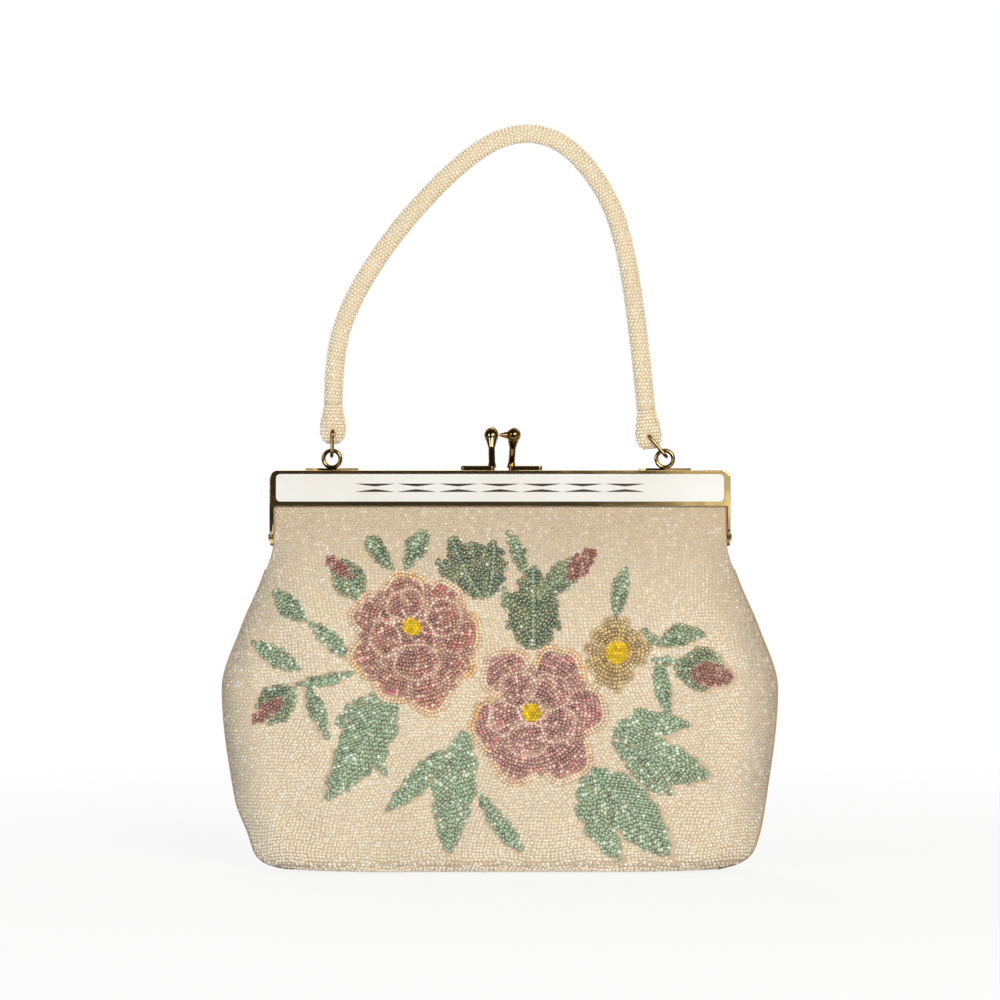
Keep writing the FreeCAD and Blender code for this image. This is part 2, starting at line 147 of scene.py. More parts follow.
white = (1, 1, 1, 1)
tarnish = newGroup("tarnish", {
    "Bright": white, "Dull": (0.2, 0.2, 0.2, 1), "Patch scale": 60.0, "Smooth": 0.2, "Rough": 0.45,
}, {
    "place": ("TexCoord", {}),
    "patches": ("TexNoise", {"Vector": "place.Object", "Scale": "enter.Patch scale", "Detail": 5}),
    "worn": ("MapRange", {"Value": "patches.Fac", "From Min": 0.38, "From Max": 0.68}),
    "mix": ("Mix", {"Factor": "worn.Result", "A": "enter.Bright", "B": "enter.Dull"}, {"data_type": "RGBA"}),
    "stretch": ("Mapping", {"Vector": "place.Object", "Scale": (0.12, 1, 1)}),
    "scratches": ("TexNoise", {"Vector": "stretch.Vector", "Scale": 900}),
    "both": ("Math", {0: "worn.Result", 1: "scratches.Fac"}, {"operation": "MULTIPLY"}),
    "rough": ("MapRange", {"Value": "both.Value", "To Min": "enter.Smooth", "To Max": "enter.Rough"}),
}, {"Colour": "mix.Result", "Roughness": "rough.Result", "Height": "scratches.Fac"})
beadLustre = newGroup("beadLustre", {
    "Tint": white, "Cloud scale": 40.0, "Smooth": 0.12, "Rough": 0.4,
}, {
    "place": ("TexCoord", {}),
    "cloud": ("TexNoise", {"Vector": "place.Object", "Scale": "enter.Cloud scale", "Detail": 3}),
    "shade": ("MapRange", {"Value": "cloud.Fac", "To Min": 0.86, "To Max": 1.12}),
    "tinted": ("VectorMath", {0: "enter.Tint", "Scale": "shade.Result"}, {"operation": "SCALE"}),
    "grain": ("TexNoise", {"Vector": "place.Object", "Scale": 700}),
    "rough": ("MapRange", {"Value": "grain.Fac", "To Min": "enter.Smooth", "To Max": "enter.Rough"}),
}, {"Colour": "tinted.Vector", "Roughness": "rough.Result"})
threadBands = {"Vector": "place.Object", "Scale": "enter.Thread scale", "Distortion": 0.6}
weave = newGroup("weave", {
    "Thread": white, "Gap": (0.5, 0.5, 0.5, 1), "Thread scale": 900.0,
}, {
    "place": ("TexCoord", {}),
    "warp": ("TexWave", threadBands, {"wave_type": "BANDS", "bands_direction": "X"}),
    "weft": ("TexWave", threadBands, {"wave_type": "BANDS", "bands_direction": "Z"}),
    "crossing": ("Math", {0: "warp.Fac", 1: "weft.Fac"}, {"operation": "MULTIPLY"}),
    "mix": ("Mix", {"Factor": "crossing.Value", "A": "enter.Gap", "B": "enter.Thread"},
            {"data_type": "RGBA"}),
}, {"Colour": "mix.Result", "Height": "crossing.Value"})


# finishes

def newFinish(name, plan, feeds):
    material = bpy.data.materials.new(name)
    material.use_nodes = True
    tree = material.node_tree
    feedNode(tree.nodes["Principled BSDF"], {"Base Color": "effect.Colour", **feeds}, growTree(tree, plan))
    return material


def groupNode(group, values):
    return {"effect": ("Group", values, {"node_tree": group})}


def bumpNode(strength, depth):
    return {"bump": ("Bump", {"Strength": strength, "Distance": depth * mm, "Height": "effect.Height"})}


def hardNode(bright, dull, smooth, rough, scale):
    return groupNode(tarnish, {"Bright": (*bright, 1), "Dull": (*dull, 1), "Smooth": smooth, "Rough": rough,
                               "Patch scale": scale})


def metalFinish(name, *facts, metallic=1.0):
    return newFinish(name, {**hardNode(*facts), **bumpNode(strength=0.02, depth=0.2)}, {
        "Roughness": "effect.Roughness", "Metallic": metallic, "Normal": "bump.Normal"})


def enamelFinish(name, *facts):
    return newFinish(name, hardNode(*facts), {
        "Roughness": "effect.Roughness", "Coat Weight": 0.5, "Coat Roughness": 0.05})


def beadFinish(name, smooth, rough, coat, cloud, glass=2.3):
    tint = {"tint": ("Attribute", {}, {"attribute_name": "tint"})}
    values = {"Tint": "tint.Color", "Cloud scale": cloud, "Smooth": smooth, "Rough": rough}
    return newFinish(name, {**tint, **groupNode(beadLustre, values)}, {
        "Roughness": "effect.Roughness", "IOR": glass, "Coat Weight": coat, "Coat Roughness": 0.16})


def clothFinish(name, thread, gap, scale, rough, sheen):
    values = {"Thread": (*thread, 1), "Gap": (*gap, 1), "Thread scale": scale}
    return newFinish(name, {**groupNode(weave, values), **bumpNode(strength=0.4, depth=0.3)}, {
        "Roughness": rough, "Sheen Weight": sheen, "Normal": "bump.Normal"})


# bright and dull colour, least and most roughness, scale of the patches
giltMetal = metalFinish("giltMetal", paint(238, 208, 140), paint(172, 138, 82), 0.06, 0.28, 70.0)
# painted reflection: the clasp, eyes, links and rivets get a darker brass, standing in for the dark they
# mirror
darkReflectionMetal = metalFinish("darkReflectionMetal", paint(172, 138, 82), paint(92, 72, 44), 0.05, 0.25, 160.0)
engravedMetal = metalFinish(
    "engravedMetal", paint(58, 48, 34), paint(32, 26, 20), 0.35, 0.6, 200.0, metallic=0.3)
whiteEnamel = enamelFinish("whiteEnamel", paint(236, 237, 235), paint(230, 228, 222), 0.08, 0.14, 25.0)
# least and most roughness, coat, scale of the clouds, index of the glass
fieldBead = beadFinish("fieldBead", 0.2, 0.36, 0.5, 35.0)
flowerBead = beadFinish("flowerBead", 0.18, 0.34, 0.6, 60.0)
leafBead = beadFinish("leafBead", 0.18, 0.34, 0.7, 60.0)
heartBead = beadFinish("heartBead", 0.25, 0.4, 0.2, 60.0, 1.55)
handleBead = beadFinish("handleBead", 0.25, 0.4, 0.3, 35.0)
# thread, gap between threads, threads' scale, roughness, sheen
backingCloth = clothFinish("backingCloth", paint(222, 202, 174), paint(208, 186, 158), 1100.0, 0.9, 0.1)
handleCloth = clothFinish("handleCloth", paint(234, 216, 184), paint(222, 202, 170), 1100.0, 0.9, 0.1)
liningSatin = clothFinish("liningSatin", paint(236, 224, 202), paint(206, 188, 160), 1800.0, 0.42, 0.3)
seamThread = clothFinish("seamThread", paint(206, 190, 164), paint(170, 152, 126), 2400.0, 0.85, 0.0)
fillerTwine = clothFinish("fillerTwine", paint(190, 170, 140), paint(130, 112, 90), 1600.0, 0.95, 0.0)
print("finishes made")


# camera, lights, floor

view = {
    "width": 360.0,       # what the picture spans at the front of the frame
    "middleHeight": 134.3,
    "planeY": -6.0,
    "lens": 150.0,
    "sensor": 36.0,
    "nearest": 0.05,
    "farthest": 50.0,
}


def setCamera():
    data = bpy.data.cameras.new("camera")
    data.lens = view["lens"]
    data.sensor_width = view["sensor"]
    camera = bpy.data.objects.new("camera", data)
    scene.collection.objects.link(camera)
    away = view["width"] * view["lens"] / view["sensor"]
    camera.location = (0, (view["planeY"] - away) * mm, view["middleHeight"] * mm)
    camera.rotation_euler = (math.pi / 2, 0, 0)
    data.clip_start = view["nearest"]
    data.clip_end = view["farthest"]
    scene.camera = camera


lamps = {
    "key": {"place": (0.75, -1.0, 0.55), "size": 0.35, "power": 2.6, "colour": (1.0, 0.82, 0.58)},
    "fill": {"place": (-0.9, -1.0, 0.4), "size": 0.5, "power": 5.2, "colour": (0.88, 0.94, 1.0)},
    "front": {"place": (0.42, -1.5, 0.5), "size": 0.36, "power": 11.6, "colour": (1.0, 0.98, 0.93)},
    "top": {"place": (0.1, 0.25, 1.1), "size": 0.7, "power": 2.4, "colour": (1.0, 0.98, 0.95)},
    "back": {"place": (-0.4, 1.2, 0.7), "size": 0.8, "power": 5.0, "colour": (1.0, 0.98, 0.95)},
}
aim = Vector((0, 0, 0.1))


def addLamp(name, lamp):
    data = bpy.data.lights.new(name, "AREA")
    data.size = lamp["size"]
    data.energy = lamp["power"]
    data.color = lamp["colour"]
    made = bpy.data.objects.new(name, data)
    scene.collection.objects.link(made)
    made.location = lamp["place"]
    made.rotation_euler = (aim - made.location).to_track_quat("-Z", "Y").to_euler()


seenDirectly = {
    "path": ("LightPath", {}),
    "first": ("Math", {0: "path.Is Camera Ray", 1: "path.Is Glossy Ray"}, {"operation": "MAXIMUM"}),
    "seen": ("Math", {0: "first.Value", 1: "path.Is Transmission Ray"}, {"operation": "MAXIMUM"}),
}
stageLook = {
    "worldLevel": 0.24,
    "floorColour": 0.82,
    "nearGlow": 0.86,     # share of plain white where the shadow falls
    "nearReach": 0.12,
    "farReach": 0.7,      # from here the floor is the background's white
    "floorSize": 60.0,
}


def setWorld():
    world = bpy.data.worlds.new("studio")
    scene.world = world
    world.use_nodes = True
    tree = world.node_tree
    made = growTree(tree, {**seenDirectly, "level": ("MapRange", {
        "Value": "seen.Value", "To Min": stageLook["worldLevel"], "To Max": 1.0})})
    feedNode(tree.nodes["Background"], {"Strength": "level.Result", "Color": white}, made)


def addFloor():
    half = stageLook["floorSize"] / 2
    mesh = bpy.data.meshes.new("floor")
    corners = [(-half, -half, 0), (half, -half, 0), (half, half, 0), (-half, half, 0)]
    mesh.from_pydata(corners, [], [(0, 1, 2, 3)])
    material = bpy.data.materials.new("paleFloor")
    material.use_nodes = True
    tree = material.node_tree
    shader = tree.nodes["Principled BSDF"]
    grey = (*[stageLook["floorColour"]] * 3, 1)
    feedNode(shader, {"Base Color": grey, "Roughness": 1, "Specular IOR Level": 0}, {})
    made = growTree(tree, {
        **seenDirectly,
        "place": ("TexCoord", {}),
        "away": ("VectorMath", {0: "place.Object"}, {"operation": "LENGTH"}),
        "fade": ("MapRange", {
            "Value": "away.Value", "From Min": stageLook["nearReach"], "From Max": stageLook["farReach"],
            "To Min": stageLook["nearGlow"]}, {"interpolation_type": "SMOOTHSTEP"}),
        "share": ("Math", {0: "seen.Value", 1: "fade.Result"}, {"operation": "MULTIPLY"}),
        "glow": ("Emission", {}),
        "mix": ("MixShader", {"Fac": "share.Value", 1: "shader.BSDF", 2: "glow.Emission"}),
    }, {"shader": shader})
    feedNode(tree.nodes["Material Output"], {"Surface": "mix.Shader"}, made)
    newObject("floor", mesh, material)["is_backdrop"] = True


# felt cards round the camera, which only polished metal mirrors
darkCards = {
    "front": [(-1.5, -1.6, 0), (0.135, -1.6, 0), (0.135, -1.6, 1.3), (-1.5, -1.6, 1.3)],
    "left": [(-1.5, 1, 0), (-1.5, -1.6, 0), (-1.5, -1.6, 1.3), (-1.5, 1, 1.3)],
    "right": [(1.5, -0.9, 0), (1.5, 1, 0), (1.5, 1, 1.3), (1.5, -0.9, 1.3)],
    "ceiling": [(-1.5, -1.6, 1.3), (1.5, -1.6, 1.3), (1.5, 0.2, 1.3), (-1.5, 0.2, 1.3)],
    "apron": [(-1.5, -1.6, 0.004), (1.5, -1.6, 0.004), (1.5, -0.22, 0.004), (-1.5, -0.22, 0.004)],
}
feltColour = (0.045, 0.05, 0.06)


def addCards():
    points = [corner for corners in darkCards.values() for corner in corners]
    faces = [tuple(range(start, start + 4)) for start in range(0, len(points), 4)]
    mesh = bpy.data.meshes.new("darkCards")
    mesh.from_pydata(points, [], faces)
    material = bpy.data.materials.new("blackFelt")
    material.use_nodes = True
    shader = material.node_tree.nodes["Principled BSDF"]
    feedNode(shader, {"Base Color": (*feltColour, 1), "Roughness": 1}, {})
    cards = newObject("darkCards", mesh, material)
    cards.visible_camera = False
    cards.visible_diffuse = False
    cards.visible_shadow = False
    cards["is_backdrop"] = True


scene.view_settings.view_transform = "Standard"
setCamera()
for lampName, lampFacts in lamps.items():
    addLamp(lampName, lampFacts)
setWorld()
addFloor()
addCards()
print("camera, lamps and floor set")


# beads: one tree puts a bead on every point of a mesh, turned to its thread

def buildBeadTree():
    tree = bpy.data.node_groups.new("threadedBeads", "GeometryNodeTree")
    inputs = {"Points": "Geometry", "Sides": "Int", "Rings": "Int", "Size spread": "Float", "Seed": "Int",
              "Finish": "Material"}
    sockets = {}
    for label, kind in inputs.items():
        sockets[label] = tree.interface.new_socket(label, in_out="INPUT", socket_type="NodeSocket" + kind)
    tree.interface.new_socket("Beads", in_out="OUTPUT", socket_type="NodeSocketGeometry")
    read = {}
    for label in ("out", "along", "size"):
        read[label] = ("GeometryNodeInputNamedAttribute", {"Name": label}, {"data_type": "FLOAT_VECTOR"})
    growTree(tree, {
        "enter": ("NodeGroupInput", {}),
        "bead": ("GeometryNodeMeshUVSphere", {
            "Segments": "enter.Sides", "Rings": "enter.Rings", "Radius": 1}),
        "rounded": ("GeometryNodeSetShadeSmooth", {"Geometry": "bead.Mesh"}),
        **read,
        "turn": ("FunctionNodeAxesToRotation", {
            "Primary Axis": "out.Attribute", "Secondary Axis": "along.Attribute"},
            {"primary_axis": "Z", "secondary_axis": "X"}),
        "least": ("Math", {0: 1, 1: "enter.Size spread"}, {"operation": "SUBTRACT"}),
        "most": ("Math", {0: 1, 1: "enter.Size spread"}, {"operation": "ADD"}),
        "chance": ("FunctionNodeRandomValue", {
            "Min": "least.Value", "Max": "most.Value", "Seed": "enter.Seed"}, {"data_type": "FLOAT"}),
        "grown": ("VectorMath", {0: "size.Attribute", "Scale": "chance.Value"}, {"operation": "SCALE"}),
        "placed": ("GeometryNodeInstanceOnPoints", {
            "Points": "enter.Points", "Instance": "rounded.Geometry", "Rotation": "turn.Rotation",
            "Scale": "grown.Vector"}),
        "solid": ("GeometryNodeRealizeInstances", {"Geometry": "placed.Instances"}),
        "finished": ("GeometryNodeSetMaterial", {"Geometry": "solid.Geometry", "Material": "enter.Finish"}),
        "leave": ("NodeGroupOutput", {"Beads": "finished.Geometry"}),
    })
    return tree, {label: socket.identifier for label, socket in sockets.items()}


beadTree, beadInput = buildBeadTree()
beadForm = {
    "sides": 6,
    "rings": 4,
    "sizeSpread": 0.07,
    "rise": -0.25,        # share of its height that a field bead stands over the cloth
    "sprayRise": 0.3,
    "mostPerPiece": 5400,
    "palest": 0.95,
}
bakeCell = {"upperU": 0.25, "lowerU": 0.75, "middleV": 0.5, "reachU": 0.2, "reachV": 0.4}


def beadCells(mesh, count, first):
    # every bead gets its own small cell of the bake map, upper half beside lower half
    verticesEach = len(mesh.vertices) // count
    loopsEach = len(mesh.loops) // count
    co = np.zeros(len(mesh.vertices) * 3, np.float32)
    mesh.vertices.foreach_get("co", co)
    local = co.reshape(-1, 3)[:verticesEach] - first["place"]
    across = np.cross(first["out"], first["along"])
    unit = np.stack([local @ first["along"], local @ across, local @ first["out"]], 1)
    unit /= np.abs(unit).max(0)
    corner = np.zeros(len(mesh.loops), np.int32)
    mesh.loops.foreach_get("vertex_index", corner)
    corner = corner[:loopsEach]
    height = np.zeros(loopsEach)
    start = 0
    for face in mesh.polygons[:len(mesh.polygons) // count]:
        height[start:start + face.loop_total] = unit[corner[start:start + face.loop_total], 2].mean()
        start += face.loop_total
    u = np.where(height > 0, bakeCell["upperU"], bakeCell["lowerU"]) + bakeCell["reachU"] * unit[corner, 0]
    v = bakeCell["middleV"] + bakeCell["reachV"] * unit[corner, 1]
    columns = math.ceil(math.sqrt(count))
    index = np.arange(count)
    uAll = (index[:, None] % columns + u[None]) / columns
    vAll = (index[:, None] // columns + v[None]) / columns
    layer = mesh.uv_layers.new(name="OFBake")
    layer.data.foreach_set("uv", np.stack([uAll, vAll], -1).astype(np.float32).ravel())


def stringBeads(name, finish, place, out, along, size, tint, seed):
    count = len(place)
    mesh = bpy.data.meshes.new(name + "Points")
    mesh.vertices.add(count)
    mesh.vertices.foreach_set("co", (place * mm).astype(np.float32).ravel())
    for label, values in (("out", out), ("along", along), ("size", size * mm)):
        layer = mesh.attributes.new(label, "FLOAT_VECTOR", "POINT")
        layer.data.foreach_set("vector", values.astype(np.float32).ravel())
    layer = mesh.attributes.new("tint", "FLOAT_COLOR", "POINT")
    layer.data.foreach_set("color", np.c_[tint, np.ones(count)].astype(np.float32).ravel())
    points = newObject(name + "Points", mesh)
    modifier = points.modifiers.new("beads", "NODES")
    modifier.node_group = beadTree
    facts = {"Sides": beadForm["sides"], "Rings": beadForm["rings"], "Size spread": beadForm["sizeSpread"],
             "Seed": seed, "Finish": finish}
    for label, value in facts.items():
        modifier[beadInput[label]] = value
    made = plainMesh(points)
    bpy.data.objects.remove(points)
    for label in ("out", "along", "size"):
        if label in made.attributes:
            made.attributes.remove(made.attributes[label])
    made.name = name
    beadCells(made, count, {"place": place[0] * mm, "out": out[0], "along": along[0]})
    return newObject(name, made)


# handle: a bead-wrapped rope in one smooth curve, held up by its stiff core

handle = {
    # across, and above the top of the frame
    "route": [(-60.4, 24.0), (-60.2, 41.5), (-54.7, 60.2), (-40.3, 83.5), (-21.0, 105.4), (-4.6, 118.8),
              (9.4, 123.0), (22.9, 119.2), (35.2, 106.2), (43.9, 88.5), (49.8, 54.5), (52.9, 22.0)],
    "ropeRadius": 3.2,
    "ropeSteps": 14,
    "ropeSides": 4,
    "ropeOrder": 3,
    "beadCentre": 3.08,
    "beadsPerTurn": 13.5,
    "turnPitch": 1.28,
    "endGap": 0.6,
    "headingReach": 0.8,
    "beadSize": (0.76, 0.7, 0.44),
    "tint": paint(240, 224, 192),
    "tintSpread": 0.06,
    "glints": 0.06,
    # height over the link's hole, half width, half thickness
    "tabLevels": [(9.5, 3.0, 3.0), (6.65, 3.5, 2.9), (2.85, 4.3, 2.1), (0.0, 4.6, 1.45), (-2.6, 4.1, 1.25),
                  (-4.8, 2.2, 0.7)],
    "tabRings": 22,
    "tabSides": 20,
    "tabRowStep": 1.22,
    "tabPitch": 1.32,
    "tabFewest": 6,
    "tabTopGap": 0.7,
    "tabEndGap": 0.3,
    "tabHole": 1.7,
    "tabEdge": 0.5,       # beads on the thin edge stay, even beside the hole
    "arcSteps": 361,
    "seed": 21,
}
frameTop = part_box("front_frame")[1].z / mm
handleY = (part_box("handle_core")[0].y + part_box("handle_core")[1].y) / 2 / mm
routePoints = np.array([(x, handleY, frameTop + up) for x, up in handle["route"]])
depthWay = np.array((0.0, 1.0, 0.0))


def routeCurve(name, radius):
    made = cordCurve(name, "NURBS", routePoints, radius, handle["ropeSides"])
    made.data.resolution_u = handle["ropeSteps"]
    made.data.splines[0].order_u = handle["ropeOrder"]
    made.data.splines[0].use_endpoint_u = True
    return made


def centreline():
    bare = routeCurve("bareRoute", 0)
    mesh = plainMesh(bare)
    line = np.array([v.co for v in mesh.vertices]) / mm
    bpy.data.objects.remove(bare)
    bpy.data.meshes.remove(mesh)
    return line


def alongLine(line, distances):
    steps = runLengths(line)

    def at(marks):
        return np.stack([np.interp(marks, steps, line[:, k]) for k in range(3)], 1)
    heading = at(distances + handle["headingReach"]) - at(distances - handle["headingReach"])
    heading /= np.linalg.norm(heading, axis=1)[:, None]
    return at(distances), heading


def beadTints(base, count, spread, glints, whiter=0.5):
    value = 1 + spread * dice.uniform(-1, 1, count)
    tint = np.asarray(base) * value[:, None]
    glint = dice.random(count) < glints
    tint[glint] = tint[glint] * (1 - whiter) + whiter
    return np.clip(tint, 0, beadForm["palest"])


def handleStrand(name, place, out, along, seed):
    size = np.tile(handle["beadSize"], (len(place), 1))
    tint = beadTints(handle["tint"], len(place), handle["tintSpread"], handle["glints"])
    return stringBeads(name, handleBead, place, out, along, size, tint, seed)


def handlePieces():
    rope = routeCurve("handleRope", handle["ropeRadius"])
    rope.data.materials.append(handleCloth)
    line = centreline()
    length = runLengths(line)[-1]
    spacing = handle["turnPitch"] / handle["beadsPerTurn"]
    distances = np.arange(handle["endGap"], length - handle["endGap"], spacing)
    place, heading = alongLine(line, distances)
    turn = 2 * math.pi * np.arange(len(distances)) / handle["beadsPerTurn"]
    sideways = np.cross(heading, depthWay)
    sideways /= np.linalg.norm(sideways, axis=1)[:, None]
    out = sideways * np.cos(turn)[:, None] + depthWay * np.sin(turn)[:, None]
    along = np.cross(heading, out)
    beads = handleStrand("handleBeads", place + out * handle["beadCentre"], out, along, handle["seed"])
    print("handle rope", round(length, 1), "mm with", len(place), "beads")
    return rope, beads, length


def tabForm(end, inner):
    up = (inner - end) / np.linalg.norm(inner - end)
    levels = np.array(handle["tabLevels"])
    fine = np.linspace(levels[0, 0], levels[-1, 0], handle["tabRings"])
    wide = np.interp(fine, levels[::-1, 0], levels[::-1, 1])
    thick = np.interp(fine, levels[::-1, 0], levels[::-1, 2])
    return end - up * levels[0, 0], up, np.cross(up, depthWay), fine, wide, thick


def tabPad(name, form):
    hole, up, across, fine, wide, thick = form
    sides = handle["tabSides"]
    turns = 2 * math.pi * np.arange(sides) / sides
    rings = [hole + up * h + np.outer(np.cos(turns) * w, across) + np.outer(np.sin(turns) * t, depthWay)
             for h, w, t in zip(fine, wide, thick)]
    faces = []
    for ring in range(len(fine) - 1):
        for step in range(sides):
            a, b = ring * sides + step, ring * sides + (step + 1) % sides
            faces.append((a, b, b + sides, a + sides))
    faces.append(tuple(range(sides))[::-1])
    faces.append(tuple((len(fine) - 1) * sides + k for k in range(sides)))
    mesh = bpy.data.meshes.new(name)
    mesh.from_pydata((np.concatenate(rings) * mm).tolist(), [], faces)
    smoothMesh(mesh)
    return newObject(name, mesh, handleCloth)


def tabBeads(name, form, seed):
    hole, up, across, fine, wide, thick = form
    place, out, along = [], [], []
    heights = np.arange(fine[0] - handle["tabTopGap"], fine[-1] + handle["tabEndGap"], -handle["tabRowStep"])
    for row, height in enumerate(heights):
        w = np.interp(-height, -fine, wide)
        t = np.interp(-height, -fine, thick)
        around = math.pi * (3 * (w + t) - math.sqrt((3 * w + t) * (w + 3 * t)))
        count = max(handle["tabFewest"], round(around / handle["tabPitch"]))
        dense = np.linspace(0, 2 * math.pi, handle["arcSteps"])
        arc = np.r_[0, np.cumsum(np.hypot(np.diff(w * np.cos(dense)), np.diff(t * np.sin(dense))))]
        for step in range(count):
            turn = np.interp((step + 0.5 * (row % 2)) / count * arc[-1], arc, dense)
            normal = across * math.cos(turn) / w + depthWay * math.sin(turn) / t
            spot = hole + up * height + across * w * math.cos(turn) + depthWay * t * math.sin(turn)
            fromHole = np.linalg.norm((spot - hole) * (1, 0, 1))
            if fromHole > handle["tabHole"] or abs(spot[1] - hole[1]) < handle["tabEdge"]:
                place.append(spot)
                out.append(normal / np.linalg.norm(normal))
                along.append(np.cross(up, normal) / np.linalg.norm(np.cross(up, normal)))
    return handleStrand(name, np.array(place), np.array(out), np.array(along), seed)


def tabPieces(name, end, inner, seed):
    form = tabForm(end, inner)
    return tabPad(name, form), tabBeads(name + "Beads", form, seed)


handleRope, handleBeads, ropeLength = handlePieces()
leftPad, leftPadBeads = tabPieces("leftPad", routePoints[0], routePoints[1], handle["seed"] + 1)
rightPad, rightPadBeads = tabPieces("rightPad", routePoints[-1], routePoints[-2], handle["seed"] + 2)
onRope = [handleBeads, leftPad, leftPadBeads, rightPad, rightPadBeads]
for piece in [handleRope] + onRope:
    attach(piece, "handle")
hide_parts("handle_cover", "handle_core")
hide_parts("left_tab")
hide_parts("right_tab")


# pouch: two lofted shells that meet at the side and bottom seams

pouch = {
    # height, half width, half depth, squareness, depth of the side edge, lean to the right
    "levels": [
        (0.0, 64.0, 12.5, 4.2, 0.0, 0.0), (1.4, 80.0, 15.4, 4.2, 0.0, 0.3),
        (3.6, 87.9, 16.9, 4.2, 0.0, 0.9), (6.5, 90.9, 17.8, 4.2, 0.0, 1.5),
        (12.0, 92.8, 18.4, 3.9, 0.0, 1.6), (26.0, 96.7, 19.3, 3.2, 0.0, 0.3),
        (66.0, 101.1, 18.6, 2.5, 0.0, 0.0), (88.0, 93.8, 14.6, 2.5, 0.0, 0.0),
        (104.0, 86.6, 10.6, 4.0, 0.0, 0.0), (111.0, 83.9, 8.4, 7.0, 0.6, 0.0),
        (118.0, 82.0, 6.6, 14.0, 4.2, 0.0), (126.0, 82.0, 5.4, 20.0, 4.0, 0.0),
        (134.0, 82.0, 4.6, 24.0, 3.9, 0.0),
    ],
    "inset": 0.7,
    "sideInset": 0.2,
    "floorGap": 1.1,
    "power": 0.7,
    "rowStep": 1.5,
    "columns": 161,
    "heightSamples": 700,
    "acrossSamples": 1601,
    "onFace": 0.01,        # rows lower than this are tucked under the foot
    "halfGap": 0.05,       # from the inner faces to the plane between the halves
    "edgeShare": 0.4,
    "clothThickness": 0.7,
    "liningInset": 2.4,
    "liningThickness": 0.5,
    "liningLift": 2.0,
    "liningTop": 132.0,
    "liningParts": 120.5,  # the two linings are sewn together up to here
    "mouthRise": 4.0,
    "blendStart": 119.0,
    "blendEnd": 126.0,
}


def smoothTable(column):
    zs = np.array([level[0] for level in pouch["levels"]])
    values = np.array([level[column] for level in pouch["levels"]])
    rise = np.diff(values) / np.diff(zs)
    slopes = np.zeros(len(zs))
    slopes[0], slopes[-1] = rise[0], rise[-1]
    same = rise[:-1] * rise[1:] > 0
    pair = np.where(same, rise[:-1] + rise[1:], 1)
    slopes[1:-1] = np.where(same, 2 * rise[:-1] * rise[1:] / pair, 0)

    def at(z):
        z = np.asarray(z, float)
        k = np.clip(np.searchsorted(zs, z) - 1, 0, len(zs) - 2)
        step = zs[k + 1] - zs[k]
        t = (z - zs[k]) / step
        start = (1 + 2 * t) * (1 - t) ** 2 * values[k] + t * (1 - t) ** 2 * step * slopes[k]
        return start + t * t * (3 - 2 * t) * values[k + 1] + t * t * (t - 1) * step * slopes[k + 1]
    return at


wideAt, deepAt, squareAt, edgeAt, leanAt = (smoothTable(column) for column in (1, 2, 3, 4, 5))


def section(z, s, inset, sewnTo):
    wide = wideAt(z) - inset + pouch["inset"] - pouch["sideInset"]
    deep = deepAt(z) - inset
    edge = np.minimum(edgeAt(z), deep) * np.clip((z - sewnTo) / pouch["mouthRise"], 0, 1)
    full = np.maximum(0, 1 - np.abs(s) ** squareAt(z)) ** pouch["power"]
    return leanAt(z) + wide * s, edge + (deep - edge) * full


